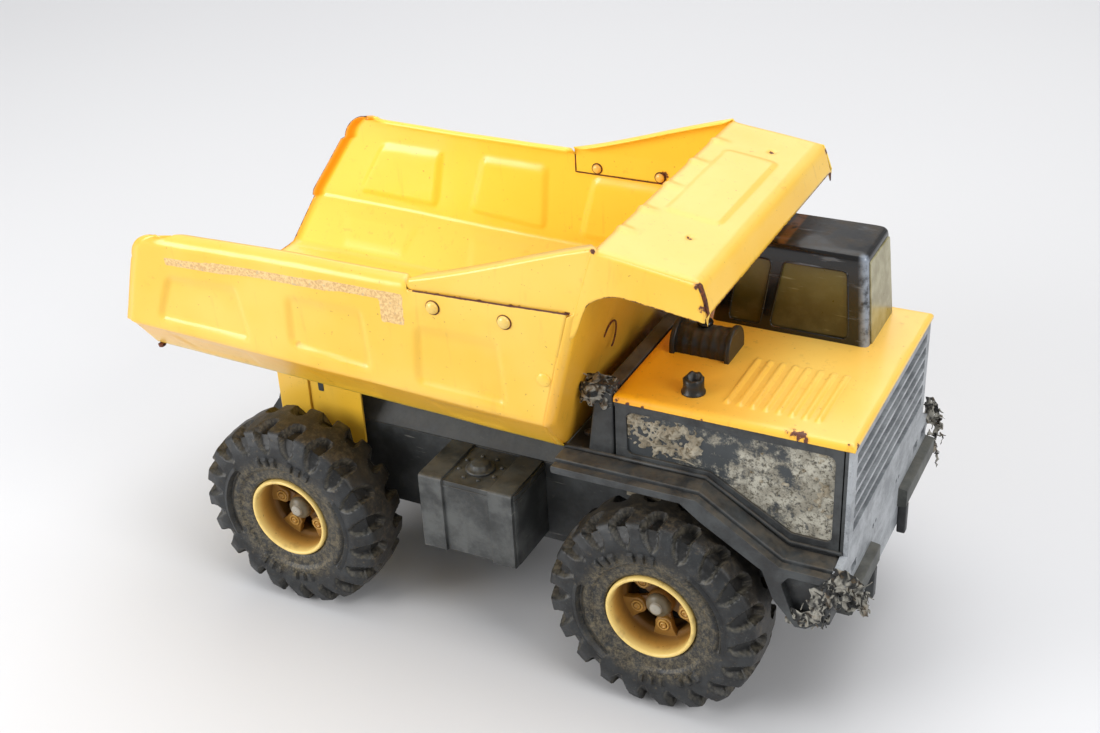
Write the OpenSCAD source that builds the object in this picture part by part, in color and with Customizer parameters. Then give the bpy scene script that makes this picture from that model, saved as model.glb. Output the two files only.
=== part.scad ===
// Push-along dump truck: pressed-steel tipping bed and hood on a moulded plastic chassis.
// Frame: +X is the truck's front, +Y its left side, +Z up. The origin is on the ground
// under the middle of the truck. Outlines are drawn with x measured from the rear axle.

/* [Wheels] */
// Distance between the two axles
wheelbase = 277; // [270:1:285]
// Outer diameter of a tyre over its lugs
tyre_d = 145; // [140:1:145]
// Outer diameter of a rim
rim_d = 61.4; // [58:0.2:64]
// Distance from the truck's centre plane to a tyre's outer shoulder
tyre_outer = 122.4; // [121:0.2:124]
// Distance from the truck's centre plane to a tyre's inner shoulder
tyre_inner = 74; // [72:0.5:76]
// Lugs in each of a tyre's two rows
lug_count = 20; // [16:1:22]
// Diameter of the steel axles
axle_d = 4.76; // [4.5:0.02:5]

/* [Bed] */
// Overhang of the bed's floor behind the rear axle
bed_rear = 123.4; // [118:0.2:126]
// Height of the floor's rear edge above the ground
floor_rear_z = 177.3; // [176:0.1:180]
// Height of the floor's front edge above the ground
floor_front_z = 167.4; // [167:0.1:170]
// Distance of the floor's front edge ahead of the rear axle
floor_front = 206.9; // [204:0.1:208]
// Half width of the flat floor
floor_half = 88.9; // [86:0.1:92]
// Half width over the upright walls
wall_half = 118.5; // [117:0.1:119.5]
// Height of the slanted sides, above the floor
slant_h = 33; // [30:0.5:36]
// Height of the walls' top edge above the ground
wall_top = 280; // [278:0.5:282]
// Thickness of the bed's steel sheet
sheet = 1; // [0.8:0.1:1.6]

/* [Canopy] */
// Height of the canopy's rear edge, the truck's highest line
canopy_top = 318.9; // [316:0.1:320]
// Canopy's rear edge, ahead of the rear axle
canopy_rear = 243.4; // [242:0.1:246]
// Bend between the canopy's top and its front lip
canopy_bend = [306.8, 310.2];
// Lower edge of the canopy's front lip
canopy_lip = [312.4, 291.5];
// Rear end of the canopy's side rails
rail_start = 122; // [116:1:126]

/* [Hood] */
// Rear edge of the hood, ahead of the rear axle
hood_rear = 242.3; // [241:0.1:244]
// Front edge of the hood
hood_front = 393.6; // [392:0.1:395]
// Half width of the hood
hood_half = 88.6; // [88:0.1:89]
// Height of the hood's top above the ground
hood_top = 210; // [209.5:0.1:211]
// Raised louvre ribs on the hood
louvre_count = 8; // [6:1:9]

/* [Cab] */
// Cab's near and far edges on the hood, from the centre plane
cab_base_y = [24.4, 82.8];
// Near and far edges of the cab's roof
cab_roof_y = [28, 79];
// Rear and front edges of the cab on the hood
cab_base_x = [262, 367.6];
// Rear and front edges of the cab's roof
cab_roof_x = [272, 362.5];
// Height of the cab's roof above the ground
cab_top = 273.8; // [272:0.2:275]

/* [Chassis] */
// Half width over the frame rails
frame_half = 56; // [55:0.5:57]
// Thickness of a moulded plastic wall
wall = 4; // [3.5:0.5:4]
// Underside of the frame above the ground
frame_bottom = 64; // [60:1:64]
// Height of the platform over the front wheels
platform_z = 165; // [164:0.5:166]
// Half width over the front fenders
fender_half = 107.5; // [105:0.5:109]
// Foremost face of the bumper's bars, ahead of the rear axle
bumper_front = 402; // [400:0.5:404]

/* [Fuel tanks] */
// Rear and front ends of a tank
tank_x = [102, 175];
// Outer face of a tank, from the centre plane
tank_outer = 101; // [98:0.5:104]
// Bottom and top of a tank
tank_z = [70, 126];

/* [Tipping hinge] */
// Height of the bed's pivot above the ground, straight above the rear axle
pivot_z = 112; // [110:0.5:114]
// Diameter of the hinge rod
hinge_d = 6; // [5.5:0.1:6.5]

/* [Hidden] */
$fn = 64;

right = -1;
left = 1;
origin_x = (bumper_front - bed_rear) / 2;
wheel_r = tyre_d / 2;
rim_r = rim_d / 2;
axle_r = axle_d / 2;
hinge_r = hinge_d / 2;
gap = 0.4;          // end gap between pieces that turn on each other
running = 0.05;     // radial clearance of a running fit
slip = 0.1;         // radial clearance of a rod in a hole that it does not turn in

yellow = "gold";
deep_yellow = "goldenrod";
cream = "khaki";
black = [0.13, 0.14, 0.15];
gloss_black = [0.05, 0.05, 0.06];
grey = [0.35, 0.36, 0.38];
rubber = [0.18, 0.19, 0.21];
steel = "silver";
tint = [0.55, 0.5, 0.2, 0.6];

// ---- placing and extruding ----

// Moves outlines drawn from the rear axle to the truck's own origin
module place() translate([-origin_x, 0, 0]) children();

// Extrudes an (x, z) outline along Y, from y0 to y1
module along_y(y0, y1)
    translate([0, y1, 0])
    rotate([90, 0, 0])
    linear_extrude(y1 - y0) children();

// Extrudes an (x, z) outline on one side, from inner to outer distance from the centre plane
module on_side(side, inner, outer) {
    if (side == left) along_y(inner, outer) children();
    else along_y(-outer, -inner) children();
}

// Extrudes a (y, z) profile along X, from x0 to x1
module along_x(x0, x1)
    translate([x0, 0, 0])
    rotate([90, 0, 90])
    linear_extrude(x1 - x0) children();

// A rod along Y, from y0 to y1, through (x, z)
module rod_y(x, z, r, y0, y1)
    translate([x, y1, z])
    rotate([90, 0, 0])
    cylinder(r = r, h = y1 - y0);

// A rod on one side only
module rod_on_side(side, x, z, r, inner, outer) {
    if (side == left) rod_y(x, z, r, inner, outer);
    else rod_y(x, z, r, -outer, -inner);
}

// Points of an arc about c, from angle a0 to a1
function arc(c, r, a0, a1, steps = 8) =
    [for (i = [0:steps]) c + r * [cos(a0 + (a1 - a0) * i / steps), sin(a0 + (a1 - a0) * i / steps)]];

function reversed(points) = [for (i = [len(points) - 1:-1:0]) points[i]];

// ---- chassis ----

rail_step = 127;                 // top of the rails under the bed
rail_rear = -52;                 // rear end of the frame
rail_front = 388;                // front end of the frame
platform_rear = 206;             // rear edge of the platform over the front wheels
platform_t = 4;
boss_r = 8;                      // bosses on the rails, around the axles
boss_out = 65.6;
bay_bend = 301;                  // where the fenders begin to slope down
bay_low = 133;                   // height of the side panels' front corner
skin = 2.5;                      // thickness of the side panels
panel_in = hood_half - sheet - skin;
panel_out = hood_half - sheet;

rail_outline = [
    [rail_rear, frame_bottom], [rail_front, frame_bottom],
    [rail_front, platform_z - platform_t], [platform_rear, platform_z - platform_t],
    [platform_rear, rail_step], [rail_rear + 8, rail_step], [rail_rear, rail_step - 11]
];

module frame_rail(side) color(black) place() difference() {
    union() {
        on_side(side, frame_half - wall, frame_half) polygon(rail_outline);
        for (x = [0, wheelbase])
            rod_on_side(side, x, wheel_r, boss_r, frame_half - wall, boss_out);
    }
    for (x = [0, wheelbase])
        rod_y(x, wheel_r, axle_r + slip, -100, 100);
    rod_y(0, pivot_z, hinge_r + slip, -100, 100);
}

deck_top = 150;
deck_top_half = 42;
deck_t = 3;

module frame_deck() color(black) place()
    along_x(rail_rear + 8, platform_rear)
    difference() {
        polygon([[-frame_half, rail_step], [-deck_top_half, deck_top],
                 [deck_top_half, deck_top], [frame_half, rail_step]]);
        polygon([[-frame_half + wall, rail_step - 1], [-frame_half + wall, rail_step],
                 [-deck_top_half + 1, deck_top - deck_t], [deck_top_half - 1, deck_top - deck_t],
                 [frame_half - wall, rail_step], [frame_half - wall, rail_step - 1]]);
    }

// A plate across the frame, between the rails
module crossmember(x, top) color(black) place()
    along_x(x, x + wall)
    polygon([[-frame_half + wall, frame_bottom], [frame_half - wall, frame_bottom],
             [frame_half - wall, top], [-frame_half + wall, top]]);

module front_platform() color(black) place()
    along_x(platform_rear, bay_bend)
    translate([-panel_out, platform_z - platform_t])
    square([2 * panel_out, platform_t]);

module firewall() color(black) place()
    along_x(hood_rear, hood_rear + skin)
    translate([-panel_in, platform_z])
    square([2 * panel_in, hood_top - sheet - platform_z]);

side_outline = [
    [hood_rear, platform_z], [bay_bend, platform_z], [355, bay_low],
    [rail_front, bay_low], [rail_front, hood_top - sheet], [hood_rear, hood_top - sheet]
];
recess_outline = [
    [252, 172], [306, 172], [358, 142], [380, 142], [380, 200], [252, 200]
];

module side_panel(side) color(black) place() difference() {
    on_side(side, panel_in, panel_out) polygon(side_outline);
    on_side(side, panel_out - 1, panel_out + 1) polygon(recess_outline);
}

fender_outline = [
    [platform_rear, platform_z], [303, platform_z], [357, bay_low - 3],
    [rail_front, bay_low - 3], [rail_front, 90], [368, 87.4], [353.4, 104.4],
    [346, 123.3], [306.6, 147.4], [293, 157.7], [platform_rear, 157.7]
];
pocket_outline = [[364, 97], [384, 97], [384, 124], [362, 124], [358, 118]];

module front_fender(side) color(black) place() difference() {
    on_side(side, panel_out, fender_half) polygon(fender_outline);
    on_side(side, fender_half - 7, fender_half + 1) polygon(pocket_outline);
}

grille_slots = 6;
slot_pitch = 9.6;
slot_h = 5.6;
face_x = 392.6;                  // plane of the truck's front face

module grille() color(grey) place() difference() {
    along_x(rail_front, face_x)
        translate([-panel_out, bay_low])
        square([2 * panel_out, hood_top - sheet - bay_low]);
    for (i = [0:grille_slots - 1])
        along_x(face_x - 3, face_x + 1)
        translate([-78, 147 + i * slot_pitch])
        square([156, slot_h]);
}

bar_z = [93, 108];
bar_y = [32, 104];

module front_bumper() color(grey) place() {
    along_x(rail_front, face_x)
        polygon([[-fender_half, 90], [-84, 76], [84, 76], [fender_half, 90],
                 [fender_half, bay_low - 3], [panel_out, bay_low - 3], [panel_out, bay_low],
                 [-panel_out, bay_low], [-panel_out, bay_low - 3], [-fender_half, bay_low - 3]]);
    for (side = [right, left])
        translate([face_x, side * (bar_y[0] + bar_y[1]) / 2 - (bar_y[1] - bar_y[0]) / 2, bar_z[0]])
        cube([bumper_front - face_x, bar_y[1] - bar_y[0], bar_z[1] - bar_z[0]]);
}

// Two flat hooks that hang under the bumper's bars
module tow_hooks() color(black) place()
    for (side = [right, left])
        translate([face_x, side * 38 - 3, 70])
        cube([6, 6, bar_z[0] - 70]);

module hood_panel() color(yellow) place() {
    translate([hood_rear, -hood_half, hood_top - sheet])
        cube([hood_front - hood_rear, 2 * hood_half, sheet]);
    for (side = [right, left])
        on_side(side, panel_out, hood_half)
        translate([hood_rear, hood_top - 6])
        square([hood_front - hood_rear, 6]);
    for (i = [0:louvre_count - 1])
        rod_y(309 + i * 57 / (louvre_count - 1), hood_top - 0.6, 1.8, -72, -14);
}

// ---- cab ----

cab_wall = 2;
window_z = [217, 261];
near_window = [[302.6, 217], [353.3, 217], [350, 261], [310, 261]];
small_window = [[273.4, 217], [294.7, 217], [301, 261], [279, 261]];

// The cab's tapered block, shrunk all round by the given amount except at its base
module cab_block(inset) hull() {
    translate([cab_base_x[0] + inset, cab_base_y[0] + inset, hood_top])
        cube([cab_base_x[1] - cab_base_x[0] - 2 * inset,
              cab_base_y[1] - cab_base_y[0] - 2 * inset, 0.01]);
    translate([cab_roof_x[0] + inset, cab_roof_y[0] + inset, cab_top - inset])
        cube([cab_roof_x[1] - cab_roof_x[0] - 2 * inset,
              cab_roof_y[1] - cab_roof_y[0] - 2 * inset, 0.01]);
}

module cab_body() color(gloss_black) place() difference() {
    cab_block(0);
    cab_block(cab_wall);
    along_y(cab_base_y[0] - 5, cab_base_y[1] + 5) polygon(near_window);
    along_y(cab_base_y[0] - 5, cab_base_y[1] + 5) polygon(small_window);
    along_x(cab_roof_x[0] + 40, cab_base_x[1] + 5)
        polygon([[31, 217], [76, 217], [73, 261], [34, 261]]);
}

// One clear moulding that lines the cab behind its windows
module cab_windows() color(tint) place() difference() {
    cab_block(cab_wall + 0.15);
    cab_block(cab_wall + 1.35);
}

// ---- hood fittings ----

module air_cleaner() color(black) place() {
    along_x(255, 292)
        polygon(concat([[-25, hood_top], [-1.5, hood_top]],
                       arc([-13.25, hood_top + 5], 11.75, 0, 180, 12)));
    for (x = [253.5, 290.5])
        along_x(x, x + 3)
        polygon(concat([[-27.8, hood_top], [1.3, hood_top]],
                       arc([-13.25, hood_top + 5], 14, 0, 180, 12)));
}

module air_cleaner_knob() color(black) place()
    translate([272.5, -13.25, hood_top + 16.7])
    cylinder(r = 5, h = 4.3);

module exhaust_stub() color(black) place()
    translate([286, -67, hood_top])
    difference() {
        cylinder(r = 6.5, h = 12);
        translate([0, 0, 4])
            cylinder(r = 4.2, h = 12);
    }

// Tapered post behind the hood that guards the bed's lower corner
module stanchion(side) color(black) place()
    on_side(side, 74, panel_out)
    polygon([[223, platform_z], [241, platform_z], [241, 216], [229, 216]]);

// Black bar between the posts, along the hood's rear edge
module rear_cowl() color(black) place()
    along_y(-74, 74)
    polygon([[229, 196], [241, 196], [241, 212], [231, 212], [229, 209]]);

// ---- fuel tanks ----

tank_wall = 2.5;
strap_x = [111, 158];
strap_w = 8;

module fuel_tank(side) color(black) place() difference() {
    union() {
        on_side(side, frame_half, tank_outer)
            translate([tank_x[0], tank_z[0]])
            square([tank_x[1] - tank_x[0], tank_z[1] - tank_z[0]]);
        for (x = strap_x)
            on_side(side, frame_half, tank_outer + 1.5)
            translate([x, tank_z[0]])
            square([strap_w, tank_z[1] - tank_z[0] + 1.5]);
    }
    on_side(side, frame_half + tank_wall, tank_outer - tank_wall)
        translate([tank_x[0] + tank_wall, tank_z[0] + tank_wall])
        square([tank_x[1] - tank_x[0] - 2 * tank_wall, tank_z[1] - tank_z[0] - 2 * tank_wall]);
}

module tank_cap(side) color(black) place()
    translate([138, side * 79, tank_z[1]]) {
        cylinder(r = 10.5, h = 1.6);
        cylinder(r = 7.5, h = 5);
    }

// ---- axles, hinge rod and fasteners ----

axle_end = 104.5;
hub_face = 102;

module axle(x) color(steel) place()
    rod_y(x, wheel_r, axle_r, -axle_end, axle_end);

// Domed push-on caps, one on each end of the two axles
module axle_caps() color("lightgray") place()
    for (x = [0, wheelbase], side = [right, left])
        translate([x, 0, wheel_r])
        rotate([side == left ? -90 : 90, 0, 0])
        rotate_extrude()
        polygon([[axle_r, hub_face + gap], [8, hub_face + gap], [8, hub_face + 2.5],
                 [6.2, hub_face + 4.6], [3.2, hub_face + 5.8], [0, hub_face + 6],
                 [0, axle_end], [axle_r, axle_end]]);

ear_out = 63.6;
ear_t = 2;

module hinge_rod() color(steel) place()
    rod_y(0, pivot_z, hinge_r, -ear_out - 3, ear_out + 3);

module hinge_push_nuts() color(steel) place()
    for (side = [right, left])
        difference() {
            rod_on_side(side, 0, pivot_z, 6.5, ear_out + gap, ear_out + 2.4);
            rod_y(0, pivot_z, hinge_r, -100, 100);
        }

// Pan-head screws that come up through the platform's front and rear corners
module frame_screws() color(steel) place()
    for (x = [214, 234], side = [right, left])
        translate([x, side * 66, platform_z])
        cylinder(r = 3.2, h = 1.8);

// ---- bed ----

floor_tilt = atan((floor_rear_z - floor_front_z) / (floor_front + bed_rear));
slant_run = wall_half - floor_half;
slant_angle = atan(slant_h / slant_run);
head_lean = (canopy_rear - floor_front) / (canopy_top - floor_front_z);
bed_top_r = 26;                  // rounding of the walls' rear top corners
rear_lean = 0.3074;              // forward lean of the walls' rear edges
bead_r = 2.5;                    // rolled edge along the walls' tops
rivet_r = 1.6;
rivet_head_r = 4.2;

function floor_z(x) = floor_rear_z - (x + bed_rear) * tan(floor_tilt);
function head_x(z) = floor_front + (z - floor_front_z) * head_lean;

// Children are drawn with the floor's underside at z = 0 and its rear edge at x = 0
module on_floor() translate([-bed_rear, 0, floor_rear_z]) rotate([0, floor_tilt, 0]) children();

// One side of the bed's section, offset inwards by t
function half_section(t) = [
    [floor_half - t * tan(slant_angle / 2), t],
    [wall_half - t, slant_h + t * tan((90 - slant_angle) / 2)],
    [wall_half - t, 200]
];
function mirrored(points) = reversed([for (p = points) [-p[0], p[1]]]);
function section(t) = concat(mirrored(half_section(t)), half_section(t));

corner_x = -bed_rear + (wall_top - floor_rear_z) * rear_lean;
rear_angle = atan(rear_lean);
corner_run = bed_top_r * tan((90 - rear_angle) / 2);
bed_outline = concat(
    [[-bed_rear, floor_rear_z - 20], [-bed_rear, floor_rear_z]],
    arc([corner_x + corner_run, wall_top - bed_top_r], bed_top_r, 180 - rear_angle, 90),
    [[head_x(wall_top), wall_top], [head_x(150), 150]]
);

canopy_rivets = [[137.8, 267], [187.2, 267]];
head_rivet = [212, 232.3];
bed_rivet_spots = concat(canopy_rivets, [head_rivet]);

// The floor ends behind the headboard, which stands in this cut-out of the tub
head_play = 0.15;
head_seat = [
    [head_x(150) - sheet - head_play, 150], [head_x(150) + 5, 150], [head_x(180) + 5, 180],
    [head_x(180) - sheet - head_play, 180]
];

module rivet_holes()
    for (spot = bed_rivet_spots)
        rod_y(spot[0], spot[1], rivet_r, -140, 140);

module bed_tub() color(yellow) place() difference() {
    union() {
        intersection() {
            on_floor()
                along_x(-20, 400)
                difference() {
                    polygon(section(0));
                    polygon(section(sheet));
                }
            along_y(-wall_half - 1, wall_half + 1) polygon(bed_outline);
        }
        for (side = [right, left])
            translate([corner_x + corner_run, side * (wall_half - bead_r), wall_top - bead_r])
            rotate([0, 90, 0])
            cylinder(r = bead_r, h = rail_start - 3 - corner_x - corner_run);
    }
    rivet_holes();
    along_y(-floor_half, floor_half) polygon(head_seat);
}

canopy_foot = wall_half - sheet;
canopy_lean = 5.8;               // how far the canopy's sides lean in over their height

module headboard() color(deep_yellow) place() difference() {
    union() {
        intersection() {
            along_y(-wall_half, wall_half)
                polygon([[head_x(150) - sheet, 150], [head_x(150), 150],
                         [head_x(canopy_top - 3), canopy_top - 3],
                         [head_x(canopy_top - 3) - sheet, canopy_top - 3]]);
            on_floor() along_x(280, 400) polygon(section(sheet + head_play));
            along_x(150, 300)
                polygon([[-canopy_foot + 2, 140], [-canopy_foot + 2, wall_top],
                         [-canopy_foot + canopy_lean + 2, canopy_top],
                         [canopy_foot - canopy_lean - 2, canopy_top],
                         [canopy_foot - 2, wall_top], [canopy_foot - 2, 140]]);
        }
        for (side = [right, left])
            on_side(side, wall_half - 2 * sheet - head_play, wall_half - sheet - head_play)
            polygon([[head_x(215) - sheet / 2, 215], [head_x(250) - sheet / 2, 250],
                     [head_x(246) - 18, 246], [head_x(219) - 18, 219]]);
    }
    rivet_holes();
}

canopy_low = 264;                // lower edge of the canopy's sides, inside the walls
canopy_outline = concat(
    [[rail_start + 2, canopy_low], [rail_start, wall_top], [canopy_rear, canopy_top],
     canopy_bend, canopy_lip],
    arc([262, 261], 33.5, 90, 147),
    [[head_x(canopy_low), canopy_low]]
);
roof_outline = [
    [canopy_rear, canopy_top], canopy_bend, canopy_lip, canopy_lip - sheet * [0.96, 0.29],
    canopy_bend - sheet * [0.77, 0.9], [canopy_rear, canopy_top - sheet]
];

function canopy_section(t) = [
    [-canopy_foot + t, canopy_low - 10], [-canopy_foot + t, wall_top],
    [-canopy_foot + canopy_lean + t, canopy_top + 1],
    [canopy_foot - canopy_lean - t, canopy_top + 1],
    [canopy_foot - t, wall_top], [canopy_foot - t, canopy_low - 10]
];

module bed_canopy() color(yellow) place() difference() {
    union() {
        intersection() {
            along_y(-wall_half, wall_half) polygon(canopy_outline);
            along_x(100, 330)
                difference() {
                    polygon(canopy_section(0.1));
                    polygon(canopy_section(0.1 + sheet));
                }
        }
        intersection() {
            along_y(-wall_half, wall_half) polygon(roof_outline);
            along_x(100, 330) polygon(canopy_section(0.1));
        }
    }
    rivet_holes();
}

// Rivets through the walls: two into each canopy rail, one into each headboard flange
module bed_rivets() color(deep_yellow) place()
    for (side = [right, left], spot = bed_rivet_spots)
        translate([spot[0], 0, spot[1]])
        rotate([side == left ? -90 : 90, 0, 0])
        rotate_extrude()
        polygon([[0, wall_half - 2 * sheet - 0.2], [rivet_r, wall_half - 2 * sheet - 0.2],
                 [rivet_r, wall_half], [rivet_head_r, wall_half], [rivet_head_r - 1, wall_half + 1.6],
                 [1.5, wall_half + 2.4], [0, wall_half + 2.4]]);

// Steel ear under the bed, with a flange on the floor and a running bore for the hinge rod
ear_half = 35.5;
ear_flange = 20;

module bed_bracket(side) color(deep_yellow) place() difference() {
    union() {
        on_side(side, ear_out - ear_t, ear_out)
            polygon([[-ear_half, floor_z(-ear_half)], [ear_half, floor_z(ear_half)],
                     [ear_half, 128], [11, pivot_z - 12], [-11, pivot_z - 12],
                     [-ear_half, 128]]);
        on_side(side, ear_out - ear_flange, ear_out)
            polygon([[-ear_half, floor_z(-ear_half)], [ear_half, floor_z(ear_half)],
                     [ear_half, floor_z(ear_half) - ear_t],
                     [-ear_half, floor_z(-ear_half) - ear_t]]);
    }
    rod_y(0, pivot_z, hinge_r + running, -100, 100);
}

// ---- wheels ----

crown_r = wheel_r - 6;           // carcass between the lugs
tyre_wall = 2.5;
lug_w = 12.5;
half_tyre = (tyre_outer - tyre_inner) / 2;
tyre_mid = (tyre_outer + tyre_inner) / 2;

module wheel_place(axle_x, side) place()
    translate([axle_x, 0, wheel_r])
    rotate([side == left ? -90 : 90, 0, 0])
    children();

// Half of the tyre's C-shaped section from the bead to the crown; y is along the axle
function tyre_skin(t) = [
    [rim_r, half_tyre - 5 - t], [52, half_tyre - 3 - t], [62 - t / 2, half_tyre - 4.5 - t],
    [crown_r - t, half_tyre - 9 - t / 2]
];
function flipped(points) = reversed([for (p = points) [p[0], -p[1]]]);

// One row of lugs, cut to the tyre's outer profile; row is 1 outside and -1 inside
module lug_row(row) intersection() {
    rotate_extrude()
        polygon([[60, row * 2], [wheel_r, row * 2], [wheel_r, row * (half_tyre - 4)],
                 [wheel_r - 1.5, row * half_tyre], [60, row * (half_tyre - 0.6)],
                 [57, row * (half_tyre - 5)]]);
    for (i = [0:lug_count - 1])
        rotate([0, 0, -90 + (i + (row + 1) / 4) * 360 / lug_count])
        translate([50, -lug_w / 2, row == 1 ? 0 : -half_tyre])
        cube([30, lug_w, half_tyre]);
}

module tyre(axle_x, side) color(rubber) wheel_place(axle_x, side)
    translate([0, 0, tyre_mid]) {
        rotate_extrude()
            polygon(concat(tyre_skin(0), flipped(tyre_skin(0)),
                           reversed(concat(tyre_skin(tyre_wall), flipped(tyre_skin(tyre_wall))))));
        lug_row(1);
        lug_row(-1);
    }

rim_lip = 118.6;
rim_back = 79;
hub_r = 7;
hub_back = 66;
window_r = 5.6;
window_count = 5;

module rim(axle_x, side) color(cream) wheel_place(axle_x, side) difference() {
    rotate_extrude()
        polygon([[axle_r + running, hub_back], [hub_r, hub_back], [hub_r, 95], [27.5, 95],
                 [28.2, rim_back], [rim_r, rim_back], [rim_r, rim_lip], [rim_r - 2.2, rim_lip],
                 [26.4, 98.5], [hub_r, 98.5], [hub_r, hub_face], [axle_r + running, hub_face]]);
    for (i = [0:window_count - 1])
        rotate([0, 0, 90 + i * 360 / window_count])
        translate([17, 0, 90])
        cylinder(r = window_r, h = 15);
}

// ---- nodes ----

frame_rail(right);  // frame_rail_right
frame_rail(left);  // frame_rail_left
frame_deck();
crossmember(rail_rear, rail_step - 11);  // rear_crossmember
crossmember(136, rail_step);  // centre_crossmember
crossmember(platform_rear + 4, platform_z - platform_t);  // front_crossmember
front_platform();
firewall();
side_panel(right);  // side_panel_right
side_panel(left);  // side_panel_left
front_fender(right);  // front_fender_right
front_fender(left);  // front_fender_left
grille();
front_bumper();
tow_hooks();
hood_panel();
cab_body();
cab_windows();
air_cleaner();
air_cleaner_knob();
exhaust_stub();
stanchion(right);  // stanchion_right
stanchion(left);  // stanchion_left
rear_cowl();
fuel_tank(right);  // fuel_tank_right
fuel_tank(left);  // fuel_tank_left
tank_cap(right);  // tank_cap_right
tank_cap(left);  // tank_cap_left
frame_screws();
hinge_rod();
hinge_push_nuts();
axle(wheelbase);  // front_axle
axle(0);  // rear_axle
axle_caps();
bed_tub();
headboard();
bed_canopy();
bed_rivets();
bed_bracket(right);  // bed_bracket_right
bed_bracket(left);  // bed_bracket_left
tyre(wheelbase, right);  // tyre_front_right
rim(wheelbase, right);  // rim_front_right
tyre(wheelbase, left);  // tyre_front_left
rim(wheelbase, left);  // rim_front_left
tyre(0, right);  // tyre_rear_right
rim(0, right);  // rim_rear_right
tyre(0, left);  // tyre_rear_left
rim(0, left);  // rim_rear_left
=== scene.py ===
import math
import random

import bmesh
import bpy
from mathutils import Matrix, Vector, noise
from mathutils.geometry import tessellate_polygon


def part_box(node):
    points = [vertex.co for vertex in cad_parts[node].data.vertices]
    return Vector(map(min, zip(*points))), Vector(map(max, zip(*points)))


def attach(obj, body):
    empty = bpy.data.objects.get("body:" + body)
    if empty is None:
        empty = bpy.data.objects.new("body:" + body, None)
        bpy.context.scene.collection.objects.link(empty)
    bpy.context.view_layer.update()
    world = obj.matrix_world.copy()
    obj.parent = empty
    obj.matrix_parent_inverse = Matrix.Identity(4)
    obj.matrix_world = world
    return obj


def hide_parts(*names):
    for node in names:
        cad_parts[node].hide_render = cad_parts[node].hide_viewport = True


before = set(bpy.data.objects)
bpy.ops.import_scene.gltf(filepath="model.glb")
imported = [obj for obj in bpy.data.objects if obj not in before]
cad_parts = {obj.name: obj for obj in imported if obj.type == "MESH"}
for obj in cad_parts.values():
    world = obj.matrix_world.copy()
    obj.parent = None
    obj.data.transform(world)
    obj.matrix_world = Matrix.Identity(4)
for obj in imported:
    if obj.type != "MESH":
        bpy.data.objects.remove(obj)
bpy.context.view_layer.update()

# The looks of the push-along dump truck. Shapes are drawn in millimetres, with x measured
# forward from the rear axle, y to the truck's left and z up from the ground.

scene = bpy.context.scene

RIGHT = -1
LEFT = 1
SIDE_NAME = {RIGHT: "right", LEFT: "left"}

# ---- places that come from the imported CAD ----


def box_centre(node):
    """The middle of a CAD node's box, in metres."""
    low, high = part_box(node)
    return (low + high) / 2


REAR_X = box_centre("rear_axle").x
AXLE_Z = box_centre("rear_axle").z * 1000
WHEELBASE = (box_centre("front_axle").x - REAR_X) * 1000


def metres(x, y, z):
    """A drawn point in the row frame."""
    return Vector((REAR_X + x / 1000, y / 1000, z / 1000))


# ---- small maths ----


def clamp(value, low=0.0, high=1.0):
    """The value, held between low and high."""
    return max(low, min(high, value))


def smooth(low, high, value):
    """0 below low, 1 above high, and a smooth step between them."""
    t = clamp((value - low) / (high - low))
    return t * t * (3 - 2 * t)


def lerp(a, b, t):
    """The number that is t of the way from a to b."""
    return a + (b - a) * t


def spread(start, end, count):
    """Evenly spaced numbers from start to end, both included."""
    return [lerp(start, end, i / (count - 1)) for i in range(count)]


def rough(x, y, z, size, seed=0.0):
    """Smooth noise from -1 to 1, whose lumps are about size millimetres across."""
    return noise.noise(Vector((x / size + seed, y / size - seed, z / size + 2 * seed)))


def turns(count):
    """Angles of a full turn in equal steps."""
    return [2 * math.pi * k / count for k in range(count)]


def quarter(radius, count):
    """Points of a rounded edge, as (in from the side, down from the top)."""
    return [(radius * (1 - math.sin(t)), radius * (1 - math.cos(t))) for t in spread(0, math.pi / 2, count)]


def rect(a0, b0, a1, b1):
    """A rectangle's corners."""
    return [(a0, b0), (a1, b0), (a1, b1), (a0, b1)]


def rounded(corners, radius, steps=5):
    """An outline with round corners; radius is one number, or one for each corner."""
    radii = radius if isinstance(radius, (list, tuple)) else [radius] * len(corners)
    points = []
    for i, corner in enumerate(corners):
        here = Vector(corner)
        back = Vector(corners[i - 1]) - here
        ahead = Vector(corners[(i + 1) % len(corners)]) - here
        turn = back.angle(ahead)
        reach = min(radii[i] / math.tan(turn / 2), back.length * 0.45, ahead.length * 0.45)
        start = here + back.normalized() * reach
        end = here + ahead.normalized() * reach
        for k in range(steps + 1):
            t = k / steps
            points.append(tuple((1 - t) ** 2 * start + 2 * t * (1 - t) * here + t * t * end))
    return points


def inside_depth(x, z, quad, radius=6.0):
    """Distance of (x, z) inside a convex outline with round corners; below 0 outside it."""
    total = 0.0
    worst = -1e9
    for i, (x0, z0) in enumerate(quad):
        x1, z1 = quad[(i + 1) % len(quad)]
        length = math.hypot(x1 - x0, z1 - z0)
        gap = ((z - z0) * (x1 - x0) - (x - x0) * (z1 - z0)) / length
        worst = max(worst, gap)
        total += max(gap + radius, 0.0) ** 2
    return radius - math.sqrt(total) if total else -worst


# ---- materials ----


def srgb(red, green, blue):
    """An (R, G, B, 1) shader colour from 0-255 display values."""
    linear = [
        (c / 255 / 12.92) if c <= 10 else ((c / 255 + 0.055) / 1.055) ** 2.4
        for c in (red, green, blue)
    ]
    return (*linear, 1.0)


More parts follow.
